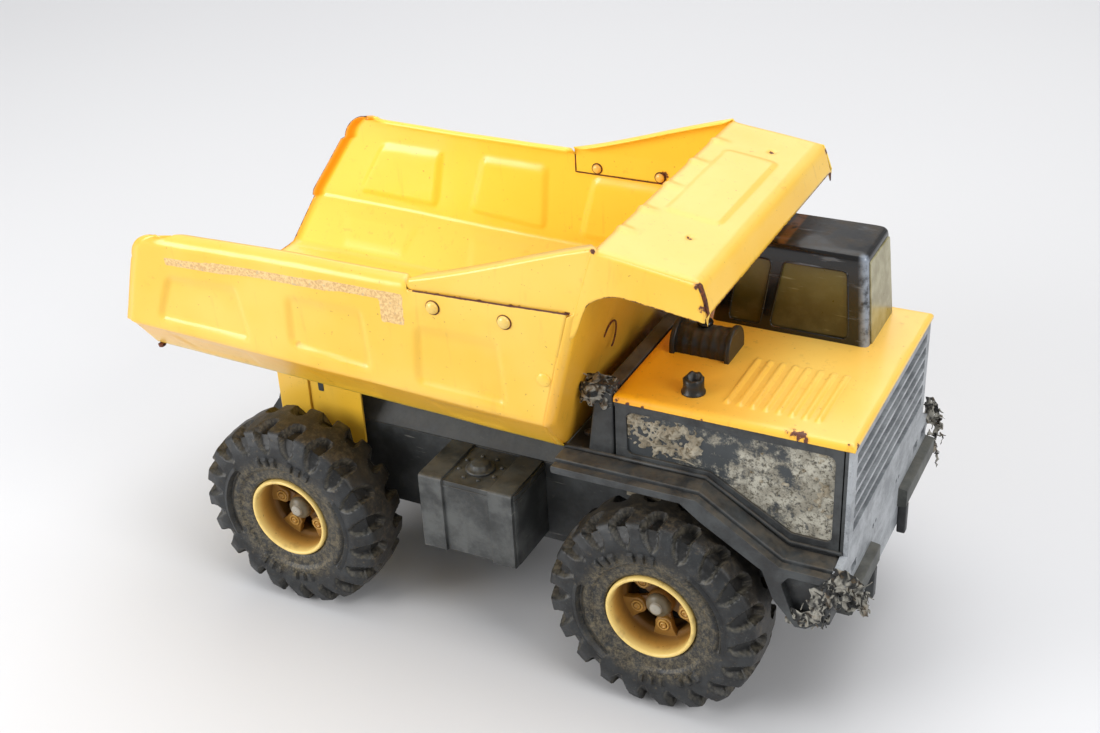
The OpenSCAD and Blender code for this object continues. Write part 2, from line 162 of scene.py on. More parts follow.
class Finish:
    """Builds one procedural material; each method adds one node and returns its output."""

    def __init__(self, name, slot, **uniform):
        """slot is its material slot, kept on the material; uniform sets the shader's own sockets."""
        self.material = bpy.data.materials.new(name)
        self.material.use_nodes = True
        self.material["slot"] = slot
        self.tree = self.material.node_tree
        self.shader = self.tree.nodes["Principled BSDF"]
        for socket, value in uniform.items():
            self.shader.inputs[socket.replace("_", " ")].default_value = value
        self.place = self.add("ShaderNodeTexCoord").outputs["Object"]
        self.last_bump = None

    def add(self, kind, **settings):
        """Adds a node and sets its properties."""
        node = self.tree.nodes.new(kind)
        for name, value in settings.items():
            setattr(node, name, value)
        return node

    def feed(self, socket, value):
        """Puts a number, a colour or another node's output into a socket."""
        if isinstance(value, bpy.types.NodeSocket):
            self.tree.links.new(value, socket)
        else:
            socket.default_value = value

    def set(self, socket, value):
        """Puts a value or an output into one of the shader's own sockets."""
        self.feed(self.shader.inputs[socket], value)

    def noise(self, size, detail=4.0, roughness=0.55, stretch=(1, 1, 1), rotation=(0, 0, 0)):
        """Noise from 0 to 1 with lumps about size millimetres across, stretched and turned."""
        node = self.add("ShaderNodeTexNoise")
        moved = self.add("ShaderNodeMapping")
        self.feed(moved.inputs["Vector"], self.place)
        moved.inputs["Rotation"].default_value = rotation
        moved.inputs["Scale"].default_value = [1 / s for s in stretch]
        self.feed(node.inputs["Vector"], moved.outputs["Vector"])
        node.inputs["Scale"].default_value = 1000 / size
        node.inputs["Detail"].default_value = detail
        node.inputs["Roughness"].default_value = roughness
        return node.outputs["Fac"]

    def scratches(self, size, stretch, rotation=(0, 0, 0)):
        """Fine streaks along the way that they are stretched."""
        return self.noise(size, 3.0, 0.5, stretch, rotation)

    def step(self, value, low, high):
        """0 where value is under low, 1 where it is over high, smooth between them."""
        node = self.add("ShaderNodeMapRange", interpolation_type="SMOOTHSTEP")
        self.feed(node.inputs["Value"], value)
        node.inputs["From Min"].default_value = low
        node.inputs["From Max"].default_value = high
        return node.outputs["Result"]

    def range(self, value, low, high):
        """value, from 0 to 1, spread over low to high."""
        node = self.add("ShaderNodeMapRange")
        self.feed(node.inputs["Value"], value)
        node.inputs["To Min"].default_value = low
        node.inputs["To Max"].default_value = high
        return node.outputs["Result"]

    def calc(self, operation, a, b=0.0):
        """One sum on two numbers or outputs."""
        node = self.add("ShaderNodeMath", operation=operation)
        self.feed(node.inputs[0], a)
        self.feed(node.inputs[1], b)
        return node.outputs[0]

    def times(self, a, b):
        """a times b."""
        return self.calc("MULTIPLY", a, b)

    def plus(self, a, b):
        """a plus b."""
        return self.calc("ADD", a, b)

    def minus(self, a, b):
        """a minus b."""
        return self.calc("SUBTRACT", a, b)

    def blend(self, share, a, b):
        """Colour a where share is 0 and b where it is 1."""
        node = self.add("ShaderNodeMix", data_type="RGBA")
        self.feed(node.inputs[0], share)
        self.feed(node.inputs[6], a)
        self.feed(node.inputs[7], b)
        return node.outputs[2]

    def tint(self, colour, share, amount, over):
        """colour with another, in 0-255 display values, laid over share times amount of it."""
        return self.blend(self.times(share, amount), colour, srgb(*over))

    def mark(self, name):
        """A value painted on the mesh, such as wear; 0 on a mesh without it."""
        return self.add("ShaderNodeAttribute", attribute_name=name).outputs["Fac"]

    def facing(self, axis="Z"):
        """How far a surface faces along an axis, from -1 to 1; up for Z."""
        normal = self.add("ShaderNodeNewGeometry").outputs["Normal"]
        split = self.add("ShaderNodeSeparateXYZ")
        self.feed(split.inputs[0], normal)
        return split.outputs[axis]

    def height(self, axis="Z"):
        """The surface's place along one axis of the row frame, in metres."""
        split = self.add("ShaderNodeSeparateXYZ")
        self.feed(split.inputs[0], self.place)
        return split.outputs[axis]

    def near(self, x, y, z, radius):
        """1 at a drawn point, falling to 0 at radius millimetres from it."""
        node = self.add("ShaderNodeVectorMath", operation="DISTANCE")
        self.feed(node.inputs[0], self.place)
        node.inputs[1].default_value = metres(x, y, z)
        return self.step(node.outputs["Value"], radius / 1000, 0.0)

    def bump(self, height, depth, strength=1.0):
        """Relief of the given depth in millimetres, on top of any bump before it."""
        node = self.add("ShaderNodeBump")
        node.inputs["Strength"].default_value = strength
        node.inputs["Distance"].default_value = depth / 1000
        self.feed(node.inputs["Height"], height)
        if self.last_bump:
            self.feed(node.inputs["Normal"], self.last_bump)
        self.last_bump = node.outputs["Normal"]
        self.set("Normal", self.last_bump)


RUST_DARK = srgb(52, 32, 26)
RUST_BRIGHT = srgb(118, 60, 34)
DUST = srgb(102, 92, 76)


def enamel(name, slot, main, deep, pale, rust_spots):
    """Worn yellow enamel on steel. The marks are the painted-shade mark (blends the paint towards deep, as
    painted shade), inner (brighter inside, as painted light bounced round the bed), wear, residue.
    """
    f = Finish(name, slot, Coat_Weight=0.35, Coat_Roughness=0.18)
    patchy = f.noise(90, detail=3)
    fine = f.noise(7, detail=6, roughness=0.7)
    colour = f.blend(f.step(patchy, 0.35, 0.7), main, pale)
    lying = f.step(f.facing(), 0.35, 1.0)
    # Painted light: where the inner mark is set, the paint is a brighter lemon yellow, standing in for
    # light bounced round inside the bed.
    colour = f.blend(f.mark("inner"), colour, srgb(253, 218, 74))
    # Faces that look up are paler: partly dust, partly a painted sheen of the bright room.
    colour = f.tint(colour, lying, 0.4, (247, 200, 116))
    # Painted shade: where the painted-shade mark is set, the paint turns to the deep orange of shaded
    # enamel.
    colour = f.blend(f.mark("painted_shade"), colour, deep)
    streaks = f.step(f.scratches(5, (1, 1, 9)), 0.6, 0.78)
    colour = f.tint(colour, streaks, 0.12, (120, 78, 22))
    grime = f.times(f.step(fine, 0.56, 0.72), f.step(f.noise(38), 0.5, 0.68))
    colour = f.tint(colour, grime, 0.3, (128, 84, 30))
    specks = f.step(f.noise(2.4, detail=2), 0.71, 0.75)
    colour = f.tint(colour, specks, 0.5, (110, 58, 20))

    residue = f.times(f.mark("residue"), f.step(f.facing("Y"), 0.1, -0.1))
    torn = f.step(f.plus(residue, f.times(f.noise(5, detail=6), 0.5)), 0.98, 1.06)
    flakes = f.noise(1.8, detail=6, roughness=0.75)
    paper = f.blend(f.step(flakes, 0.38, 0.6), srgb(196, 150, 104), srgb(240, 208, 152))
    paper = f.tint(paper, f.step(f.noise(3.2, detail=4), 0.6, 0.68), 0.6, (172, 160, 146))
    colour = f.blend(f.times(torn, 0.8), colour, paper)

    worn = f.mark("wear")
    for spot in rust_spots:
        worn = f.calc("MAXIMUM", worn, f.near(*spot))
    chips = f.plus(worn, f.times(f.noise(4.2, detail=7, roughness=0.65), 1.15))
    halo = f.step(chips, 1.18, 1.45)
    chip = f.step(chips, 1.36, 1.42)
    colour = f.tint(colour, halo, 0.55, (206, 122, 24))
    rust = f.blend(f.noise(1.8, detail=5), RUST_DARK, RUST_BRIGHT)
    colour = f.blend(chip, colour, rust)
    f.set("Base Color", colour)
    f.set("Roughness", f.plus(f.range(fine, 0.26, 0.46), f.times(chip, 0.35)))
    f.bump(f.noise(46, detail=2), 0.9, 0.55)
    f.bump(f.minus(f.times(fine, 0.25), chip), 0.25, 0.6)
    f.bump(torn, 0.12, 0.5)
    return f.material


def black_plastic(name, slot, base, dust_share, shine=0.5, worn=(66, 69, 70)):
    """Moulded black plastic with dust on what faces up, pale scuffs and a fine grain."""
    f = Finish(name, slot)
    grain = f.noise(0.9, detail=3)
    clouds = f.noise(26, detail=6, roughness=0.68)
    colour = f.blend(f.step(clouds, 0.36, 0.66), base, srgb(*worn))
    scuffs = f.step(f.scratches(2.2, (10, 10, 1), (0.2, 0.5, 0.3)), 0.66, 0.74)
    scuffs = f.times(scuffs, f.step(f.noise(22), 0.48, 0.66))
    colour = f.tint(colour, scuffs, 0.45, (158, 156, 148))
    lying = f.step(f.facing(), 0.35, 0.95)
    dusty = f.step(f.noise(15, detail=7, roughness=0.7), 0.36, 0.66)
    dusty = f.times(f.times(lying, dusty), dust_share)
    colour = f.blend(dusty, colour, DUST)
    pale = f.times(f.step(f.noise(9, detail=8, roughness=0.75), 0.6, 0.72), 0.32)
    colour = f.blend(pale, colour, srgb(118, 112, 100))
    colour = f.blend(f.mark("wear"), colour, srgb(136, 134, 130))
    f.set("Base Color", colour)
    f.set("Roughness", f.plus(f.range(clouds, shine, shine + 0.2), f.times(dusty, 0.2)))
    f.bump(grain, 0.05, 0.5)
    f.bump(f.noise(12, detail=4), 0.3, 0.4)
    return f.material


def scuffed_plastic():
    """The grey front panel: black plastic painted mid grey as a reflection of the bright room, with paler
    rubs, dark specks and stains.
    """
    f = Finish("front_reflection_grey", "scuffed_plastic")
    rubs = f.scratches(3, (1, 14, 2), (0.15, 0, 0))
    clouds = f.noise(20, detail=7, roughness=0.7)
    # Painted reflection: these greys stand for the bright room mirrored in black plastic seen at a glancing
    # angle.
    colour = f.blend(f.step(clouds, 0.36, 0.62), srgb(126, 130, 134), srgb(164, 168, 172))
    colour = f.tint(colour, f.step(rubs, 0.5, 0.68), 0.4, (190, 193, 196))
    specks = f.times(f.step(f.noise(1.6, detail=4, roughness=0.7), 0.56, 0.66), 0.35)
    colour = f.blend(specks, colour, srgb(84, 86, 86))
    stains = f.times(f.step(f.noise(8, detail=6), 0.6, 0.72), 0.3)
    colour = f.blend(stains, colour, srgb(84, 84, 82))
    f.set("Base Color", colour)
    f.set("Roughness", f.range(rubs, 0.34, 0.6))
    f.bump(rubs, 0.12, 0.4)
    f.bump(f.noise(1.2), 0.05, 0.4)
    return f.material


POST_FOOT = (367.2, 24.8, 210)      # the foot of the cab's near front post, where a painted highlight runs up the post
STRIPE_X = 306


def gloss_plastic():
    """The cab's glossy black, with a painted highlight up its near front post and a brown stripe of dust on
    its roof.
    """
    f = Finish("cab_gloss", "gloss_black_plastic", Coat_Weight=0.12, Coat_Roughness=0.1)
    wisps = f.scratches(3, (9, 2, 1), (0, 0, 0.5))
    colour = f.blend(f.times(f.step(wisps, 0.6, 0.76), 0.35), srgb(17, 17, 18), srgb(150, 156, 164))
    lying = f.step(f.facing(), 0.6, 0.98)
    dusty = f.times(lying, f.step(f.noise(17, detail=6, roughness=0.66), 0.44, 0.66))
    colour = f.tint(colour, dusty, 0.4, (80, 66, 46))
    foot = metres(*POST_FOOT)
    up = f.minus(f.height("Z"), foot.z)
    along = f.minus(f.height("X"), foot.x)
    along = f.plus(along, f.times(up, 0.08))
    across = f.minus(f.minus(f.height("Y"), foot.y), f.times(up, 0.056))
    off_post = f.calc("SQRT", f.plus(f.calc("POWER", along, 2), f.calc("POWER", across, 2)))
    # Painted highlight: a pale blue streak up the near front post, where its round corner mirrors the
    # light.
    post_highlight = f.times(f.step(off_post, 0.0062, 0.0015), f.step(f.noise(5, detail=5), 0.25, 0.6))
    colour = f.tint(colour, post_highlight, 0.85, (150, 160, 174))
    off_stripe = f.calc("ABSOLUTE", f.minus(f.height("X"), metres(STRIPE_X, 0, 0).x))
    stripe = f.times(f.step(off_stripe, 0.0045, 0.002), lying)
    stripe = f.times(stripe, f.step(f.noise(5, detail=5), 0.3, 0.5))
    colour = f.tint(colour, stripe, 0.8, (122, 78, 34))
    f.set("Base Color", colour)
    rough_top = f.plus(f.times(dusty, 0.3), f.times(lying, 0.16))
    f.set("Roughness", f.plus(f.range(wisps, 0.12, 0.3), rough_top))
    f.bump(f.noise(30, detail=1), 0.5, 0.3)
    return f.material


def tinted_window():
    """Yellow-brown clear plastic, hazy and scuffed, darker low down and paler on the windshield."""
    f = Finish("olive_window", "tinted_window", Coat_Weight=0.15, Coat_Roughness=0.15)
    haze = f.noise(14, detail=6, roughness=0.65)
    high = f.step(f.height(), 0.222, 0.262)
    colour = f.blend(high, srgb(60, 50, 16), srgb(104, 94, 36))
    colour = f.tint(colour, f.step(haze, 0.4, 0.7), 0.15, (138, 130, 84))
    ahead = f.step(f.height("X"), metres(358, 0, 0).x, metres(360, 0, 0).x)
    # The windshield is paler than the side panes.
    paler_front = f.blend(f.step(haze, 0.36, 0.64), srgb(124, 114, 66), srgb(160, 154, 118))
    colour = f.blend(ahead, colour, paler_front)
    scuffs = f.step(f.scratches(2, (9, 9, 1), (0.3, 0.4, 0)), 0.64, 0.76)
    colour = f.tint(colour, scuffs, 0.25, (190, 184, 140))
    f.set("Base Color", colour)
    f.set("Roughness", f.range(haze, 0.2, 0.42))
    f.bump(f.noise(18, detail=2), 0.4, 0.3)
    return f.material


def tyre_plastic():
    """Blue-black tyre with tan dust, browner on the tread; its grooves are darkened as painted shade, and
    their edges paled by wear and a painted highlight.
    """
    f = Finish("tyre_black", "tyre")
    clouds = f.noise(13, detail=7, roughness=0.7)
    colour = f.blend(f.step(clouds, 0.34, 0.66), srgb(15, 16, 17), srgb(38, 41, 43))
    grit = f.noise(4.5, detail=8, roughness=0.78)
    tread = f.mark("tread")
    dust = f.step(f.plus(grit, f.times(tread, 0.1)), 0.55, 0.7)
    dust = f.times(dust, f.step(f.noise(24, detail=4), 0.3, 0.62))
    colour = f.tint(colour, dust, 0.55, (120, 106, 82))
    colour = f.tint(colour, tread, 0.5, (44, 38, 30))
    # Painted shade: the grooves are darkened almost to black.
    low = f.mark("groove")
    colour = f.tint(colour, low, 0.72, (13, 13, 12))
    # Groove edges are paled: wear, and a painted highlight on the lug edges.
    edge = f.times(f.mark("wear"), f.step(grit, 0.35, 0.6))
    colour = f.tint(colour, edge, 0.45, (128, 122, 106))
    fine = f.noise(1.6, detail=6, roughness=0.8)
    hub_dust = f.times(f.mark("hub"), f.step(f.plus(fine, grit), 0.86, 1.2))
    colour = f.tint(colour, hub_dust, 0.62, (124, 112, 86))
    pale = f.times(f.step(fine, 0.56, 0.72), f.step(f.noise(16), 0.4, 0.6))
    colour = f.tint(colour, pale, 0.6, (122, 122, 116))
    f.set("Base Color", colour)
    f.set("Roughness", f.range(grit, 0.34, 0.62))
    f.bump(grit, 0.4, 0.6)
    f.bump(f.noise(1.1, detail=2), 0.06, 0.5)
    return f.material


def rim_plastic():
    """Cream at the lip and browner and darker with depth in the dish, as painted shade, with dust and small
    dark spots.
    """
    f = Finish("rim_cream", "rim_plastic", Coat_Weight=0.15, Coat_Roughness=0.3)
    depth = f.mark("depth")
    mottled = f.noise(8, detail=5)
    # Painted shade: cream at the lip, browner and then dark brown deeper in the dish.
    colour = f.blend(f.step(depth, 0.02, 0.6), srgb(240, 208, 124), srgb(190, 142, 64))
    colour = f.tint(colour, f.step(depth, 0.45, 1.0), 0.85, (92, 58, 18))
    colour = f.tint(colour, f.step(mottled, 0.5, 0.72), 0.3, (122, 92, 46))
    spots = f.step(f.noise(2.6, detail=2), 0.7, 0.75)
    colour = f.tint(colour, spots, 0.5, (72, 48, 22))
    f.set("Base Color", colour)
    f.set("Roughness", f.range(mottled, 0.38, 0.6))
    f.bump(f.noise(3, detail=4), 0.08, 0.5)
    return f.material


def cap_plastic():
    """The cloudy translucent plastic of the wheel caps, paler on its nub."""
    f = Finish("hub_cap_grey", "cap_plastic", Transmission_Weight=0.35, IOR=1.4)
    cloudy = f.noise(4, detail=5)
    nub = f.mark("nub")
    colour = f.blend(cloudy, srgb(104, 94, 74), srgb(150, 140, 118))
    f.set("Base Color", f.blend(nub, colour, srgb(196, 190, 176)))
    f.set("Roughness", f.range(cloudy, 0.22, 0.5))
    f.bump(f.noise(2, detail=3), 0.05, 0.4)
    return f.material


def steel(name, slot, bright, dark):
    """Bare or plated steel with stains."""
    f = Finish(name, slot, Metallic=0.75)
    stains = f.noise(5, detail=6, roughness=0.65)
    f.set("Base Color", f.blend(f.step(stains, 0.4, 0.68), bright, dark))
    f.set("Roughness", f.range(stains, 0.32, 0.6))
    f.bump(f.noise(1.2, detail=3), 0.05, 0.6)
    return f.material


def mud_colour(f):
    """Grey-beige, darker in the cracks between its grains, as painted shade."""
    grains = f.noise(3, detail=7, roughness=0.75)
    dry = f.blend(f.step(f.noise(11, detail=5), 0.35, 0.65), srgb(146, 141, 127), srgb(192, 188, 173))
    return f.blend(f.step(grains, 0.52, 0.36), dry, srgb(86, 80, 66)), grains


def dried_mud():
    """The thick clods on the side panel."""
    f = Finish("dried_mud", "black_plastic")
    dry, grains = mud_colour(f)
    f.set("Base Color", f.blend(0.35, dry, srgb(132, 112, 78)))
    f.set("Roughness", f.range(grains, 0.82, 0.98))
    f.bump(grains, 0.8, 0.9)
    f.bump(f.noise(0.9, detail=4), 0.3, 0.7)
    return f.material


def muddy_plastic():
    """Black plastic under a thin dry film that has flaked off in spots."""
    f = Finish("muddy_panel", "black_plastic")
    dry, grains = mud_colour(f)
    base = f.blend(f.noise(12, detail=5), srgb(38, 41, 43), srgb(70, 75, 78))
    forward = f.minus(f.height("X"), metres(300, 0, 0).x)
    amount = f.plus(f.noise(19, detail=8, roughness=0.72), f.times(forward, 1.6))
    film = f.step(amount, 0.475, 0.58)
    spots = f.step(f.noise(8, detail=3), 0.64, 0.7)
    film = f.times(film, f.minus(0.92, f.times(spots, 0.75)))
    film = f.times(film, f.step(f.noise(2.5, detail=6, roughness=0.75), 0.3, 0.46))
    f.set("Base Color", f.blend(film, base, dry))
    f.set("Roughness", f.plus(0.5, f.times(film, 0.42)))
    f.bump(f.times(film, f.plus(0.6, grains)), 0.45, 0.8)
    f.bump(f.noise(0.9), 0.05, 0.5)
    return f.material


def torn_plastic():
    """Chewed plastic: dark folds and pale dusty fibres."""
    f = Finish("torn_plastic", "scuffed_plastic")
    fibre = f.noise(1.6, detail=5, roughness=0.7)
    share = f.step(f.plus(f.mark("wear"), f.times(fibre, 0.8)), 0.6, 1.4)
    colour = f.blend(share, srgb(34, 34, 33), srgb(152, 149, 139))
    colour = f.tint(colour, f.step(f.noise(8), 0.54, 0.66), 0.35, (128, 104, 70))
    f.set("Base Color", colour)
    f.set("Roughness", f.range(fibre, 0.6, 0.9))
    f.bump(fibre, 0.5, 0.8)
    return f.material


def rusty_steel():
    """Bare rusty steel where the enamel has gone."""
    f = Finish("rusty_steel", "bed_paint")
    flakes = f.noise(1.6, detail=6, roughness=0.7)
    f.set("Base Color", f.blend(f.step(flakes, 0.38, 0.66), RUST_DARK, srgb(134, 66, 30)))
    f.set("Roughness", f.range(flakes, 0.7, 0.95))
    f.bump(flakes, 0.3, 0.8)
    return f.material


BED_YELLOW = enamel(
    "bed_enamel", "bed_paint",
    main=srgb(247, 195, 58), deep=srgb(240, 152, 6), pale=srgb(250, 206, 88),
    rust_spots=(
        (-123, -92, 177, 9), (-100, -119, 262, 5), (306, -112, 310, 9), (310, -112, 296, 11),
        (243, -112, 319, 7), (243, 112, 319, 6), (309, 112, 305, 8), (212, -112, 283, 8),
        (281, -65, 313, 5), (282, 76, 313, 5), (190, 117, 268, 12), (-104, 118, 236, 8),
    ),
)
HOOD_YELLOW = enamel(
    "hood_enamel", "hood_paint",
    main=srgb(248, 196, 60), deep=srgb(255, 176, 2), pale=srgb(249, 208, 86),
    rust_spots=(
        (353, -85, 209.5, 10), (356.5, -86, 209.5, 11), (360, -86, 209.5, 11), (363.5, -87, 209, 9),
        (390, -86, 209, 9), (393, -84, 209, 8), (245, -87, 209, 7),
        (252, -88, 208, 5), (262, -88, 208, 5), (300, -88, 208, 4), (391, 60, 209, 5), (243, -60, 209, 6),
        (296, -62, 210, 4), (280, -72, 210, 4), (389, 86, 209, 7),
    ),
)
BLACK = black_plastic("chassis_black", "black_plastic", srgb(40, 42, 43), 0.5)
DUSTY_BLACK = black_plastic("fender_black", "black_plastic", srgb(36, 37, 38), 0.6, shine=0.4)
# Near-black for backs and slots seen through openings: its darkness is painted shade.
SHADE_BLACK = black_plastic("shade_black", "black_plastic", srgb(20, 20, 21), 0.25)
GRILLE_DARK = black_plastic("grille_black", "black_plastic", srgb(34, 36, 36), 0.1, shine=0.35)
FRONT_REFLECTION_GREY = scuffed_plastic()
CAB_GLOSS = gloss_plastic()
WINDOW = tinted_window()
TRIM_BLACK = black_plastic(
    "trim_black", "black_plastic", srgb(22, 21, 18), 0.3, shine=0.3, worn=(46, 43, 37),
)
TANK_BLACK = black_plastic(
    "tank_black", "black_plastic", srgb(46, 48, 48), 0.35, shine=0.38, worn=(84, 86, 85),
)
BAR_BLACK = black_plastic("bar_black", "black_plastic", srgb(60, 62, 60), 0.2, worn=(96, 97, 92))
TYRE = tyre_plastic()
RIM = rim_plastic()
CAP = cap_plastic()
STEEL = steel("zinc_steel", "steel", srgb(170, 170, 168), srgb(112, 104, 94))
RIVET = enamel(
    "rivet_enamel", "bed_paint",
    main=srgb(232, 190, 84), deep=srgb(200, 140, 40), pale=srgb(238, 204, 112), rust_spots=(),
)
MUD = dried_mud()
MUDDY = muddy_plastic()
TORN = torn_plastic()
RUSTY = rusty_steel()

# ---- building pieces ----

BED = "dump_bed"


def on_side(side):
    """Puts (x, z, distance from the centre plane) on one side of the truck."""
    return lambda a, b, c: (a, side * c, b)


def on_front(a, b, c):
    """Puts (y, z, x) on the truck's front."""
    return (c, a, b)


def dress(piece, material, body, nodes=()):
    """Gives a piece its material and its body, and hides the CAD nodes it stands for."""
    piece.data.materials.clear()
    piece.data.materials.append(material)
    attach(piece, body)
    if nodes:
        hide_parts(*nodes)
    return piece


def show(name, mesh, material, body, nodes=()):
    """Puts a mesh into the scene as a dressed piece."""
    piece = bpy.data.objects.new(name, mesh)
    scene.collection.objects.link(piece)
    return dress(piece, material, body, nodes)


def paint(mesh, marks):
    """Writes values on the mesh's points, for Finish.mark to read."""
    for mark, values in marks.items():
        layer = mesh.attributes.new(mark, "FLOAT", "POINT")
        layer.data.foreach_set("value", values)


def heal(mesh, join_flats=False):
    """Makes a closed mesh one shell that faces outwards. join_flats also joins its coplanar
    faces, so that only real edges are left to round."""
    shell = bmesh.new()
    shell.from_mesh(mesh)
    bmesh.ops.remove_doubles(shell, verts=shell.verts, dist=1e-6)
    if join_flats:
        bmesh.ops.dissolve_limit(shell, angle_limit=math.radians(1), verts=shell.verts, edges=shell.edges)
    bmesh.ops.recalc_face_normals(shell, faces=shell.faces)
    shell.to_mesh(mesh)
    shell.free()
    mesh.shade_smooth()


def new_piece(name, points, faces, material, body="chassis", nodes=(), marks=None, closed=False):
    """A smooth-shaded mesh from drawn points. marks are values painted on the points."""
    mesh = bpy.data.meshes.new(name)
    mesh.from_pydata([metres(*p) for p in points], [], faces)
    paint(mesh, marks or {})
    if closed:
        heal(mesh)
    mesh.shade_smooth()
    return show(name, mesh, material, body, nodes)


def section(edge, flat):
    """(y, drop) points across a sheet: a flat middle between two mirrored edges."""
    return [(-y, drop) for y, drop in reversed(edge)] + [(y, 0.0) for y in flat] + edge


def grid_faces(rows, columns, around=False):
    """Quads of a grid of points; around joins the last column to the first."""
    faces = []
    for r in range(rows - 1):
        for c in range(columns if around else columns - 1):
            d = (c + 1) % columns
            faces.append((r * columns + c, r * columns + d, (r + 1) * columns + d, (r + 1) * columns + c))
    return faces


def thicken(piece, thickness):
    """Gives a sheet its thickness in millimetres, half to each side."""
    solid = piece.modifiers.new("sheet", "SOLIDIFY")
    solid.thickness = thickness / 1000
    solid.offset = 0
    return piece


def sheet_metal(name, rows, thickness, material, body, nodes=(), marks=None):
    """A pressed sheet from rows of points."""
    points = [p for row in rows for p in row]
    faces = grid_faces(len(rows), len(rows[0]))
    return thicken(new_piece(name, points, faces, material, body, nodes, marks), thickness)


def skin(name, rings, material, body="chassis", nodes=()):
    """A closed shape through rings of as many points each, with flat ends."""
    count = len(rings[0])
    points = [p for ring in rings for p in ring]
    faces = grid_faces(len(rings), count, around=True)
    faces.append(tuple(range(count)))
    faces.append(tuple(range(len(points) - count, len(points))))
    return new_piece(name, points, faces, material, body, nodes, closed=True)


def bevel(piece, width, angle=35):
    """Rounds the sharp edges by width millimetres."""
    rounding = piece.modifiers.new("edges", "BEVEL")
    rounding.width = width / 1000
    rounding.segments = 2
    rounding.limit_method = "ANGLE"
    rounding.angle_limit = math.radians(angle)
    rounding.harden_normals = True
    return piece


def slab(name, loops, low, high, place, edge, material, body="chassis", nodes=()):
    """A flat plate with round edges. loops are its outline and its holes, drawn as (a, b), and
    place(a, b, c) puts a point of it in the truck, with c from low to high through the plate."""
    flat = [[Vector((a, b, 0)) for a, b in loop] for loop in loops]
    triangles = tessellate_polygon(flat)
    drawn = [p for loop in loops for p in loop]
    count = len(drawn)
    points = [place(a, b, low) for a, b in drawn] + [place(a, b, high) for a, b in drawn]
    faces = [tuple(t) for t in triangles]
    faces += [tuple(i + count for i in reversed(t)) for t in triangles]
    start = 0
    for loop in loops:
        for i in range(len(loop)):
            a = start + i
            b = start + (i + 1) % len(loop)
            faces.append((a, b, b + count, a + count))
        start += len(loop)
    piece = new_piece(name, points, faces, material, body, nodes, closed=True)
    heal(piece.data, join_flats=True)
    return bevel(piece, edge)


def moulding(node, edge, material):
    """A chassis node's own CAD shape with rounded edges, which stands for it."""
    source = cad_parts[node].data
    mesh = bpy.data.meshes.new(node + "_moulding")
    points = [v.co.copy() for v in source.vertices]
    mesh.from_pydata(points, [], [tuple(p.vertices) for p in source.polygons])
    heal(mesh, join_flats=True)
    return bevel(show(node + "_moulding", mesh, material, "chassis", [node]), edge)


def turned(name, profile, centre, side, material, body, segments, nodes=(), marks=None):
    """A shape turned about a Y axis. profile is (radius, distance from the centre plane)."""
    x, z = centre
    points = []
    for r, a in profile:
        points += [(x + r * math.cos(t), side * a, z + r * math.sin(t)) for t in turns(segments)]
    painted = {mark: [v for v in values for _ in range(segments)] for mark, values in (marks or {}).items()}
    faces = grid_faces(len(profile), segments, around=True)
    return new_piece(name, points, faces, material, body, nodes, painted)


def upright(name, profile, centre, segments, material, nodes=()):
    """A closed shape turned about a vertical axis. profile is (radius, height above centre)."""
    x, y, z = centre
    rings = [
        [(x + r * math.cos(t), y + r * math.sin(t), z + h) for t in turns(segments)]
        for r, h in profile
    ]
    return skin(name, rings, material, nodes=nodes)


def tube(name, path, radius, material, body="chassis", segments=8):
    """A round bar along drawn points, with closed ends."""
    rings = []
    across = None
    for i, p in enumerate(path):
        here = Vector(p)
        ahead = (Vector(path[min(i + 1, len(path) - 1)]) - Vector(path[max(i - 1, 0)])).normalized()
        across = across or ahead.orthogonal()
        across = (across - ahead * across.dot(ahead)).normalized()
        up = ahead.cross(across)
        rings.append([
            tuple(here + radius * (math.cos(t) * across + math.sin(t) * up)) for t in turns(segments)
        ])
    return skin(name, rings, material, body)


def dome(name, centre, axis, radius, height, material, body="chassis", nodes=(), rim=0.5):
    """A rivet head or a button: a low dome with a short straight rim, facing along axis."""
    axis = Vector(axis).normalized()
    across = axis.orthogonal().normalized()
    up = axis.cross(across)
    profile = [(radius, -0.6), (radius, rim)]
    profile += [(radius * math.cos(t), rim + (height - rim) * math.sin(t)) for t in spread(0.25, 1.5, 6)]
    centre = Vector(centre)
    rings = [
        [tuple(centre + (r * (math.cos(t) * across + math.sin(t) * up) + h * axis)) for t in turns(20)]
        for r, h in profile
    ]
    return skin(name, rings, material, body, nodes)


# ---- the bed ----

FLOOR_REAR = -123.4
FLOOR_REAR_Z = 177.3
FLOOR_FRONT = 206.9
FLOOR_FRONT_Z = 167.4
FLOOR_HALF = 88.9
WALL_HALF = 118.5
SLANT_H = 33
FOLD_Z = 273.5                  # where the wall's top begins to roll inwards
LIP_R = 8
RAIL_START = 119
CANOPY_REAR = 243.4
CANOPY_TOP = 318.9
CANOPY_LEAN = 5.8
HEAD_LEAN = (CANOPY_REAR - FLOOR_FRONT) / (CANOPY_TOP - FLOOR_FRONT_Z)
HEAD_R = 6                      # rounding between the walls and the headboard
REAR_EDGE = {
    RIGHT: ((177.3, -123.4), (210, -112.3), (282, -87.8)),
    LEFT: ((177.3, -123.4), (210, -116.5), (282, -72.5)),
}
CORNER_R = 22

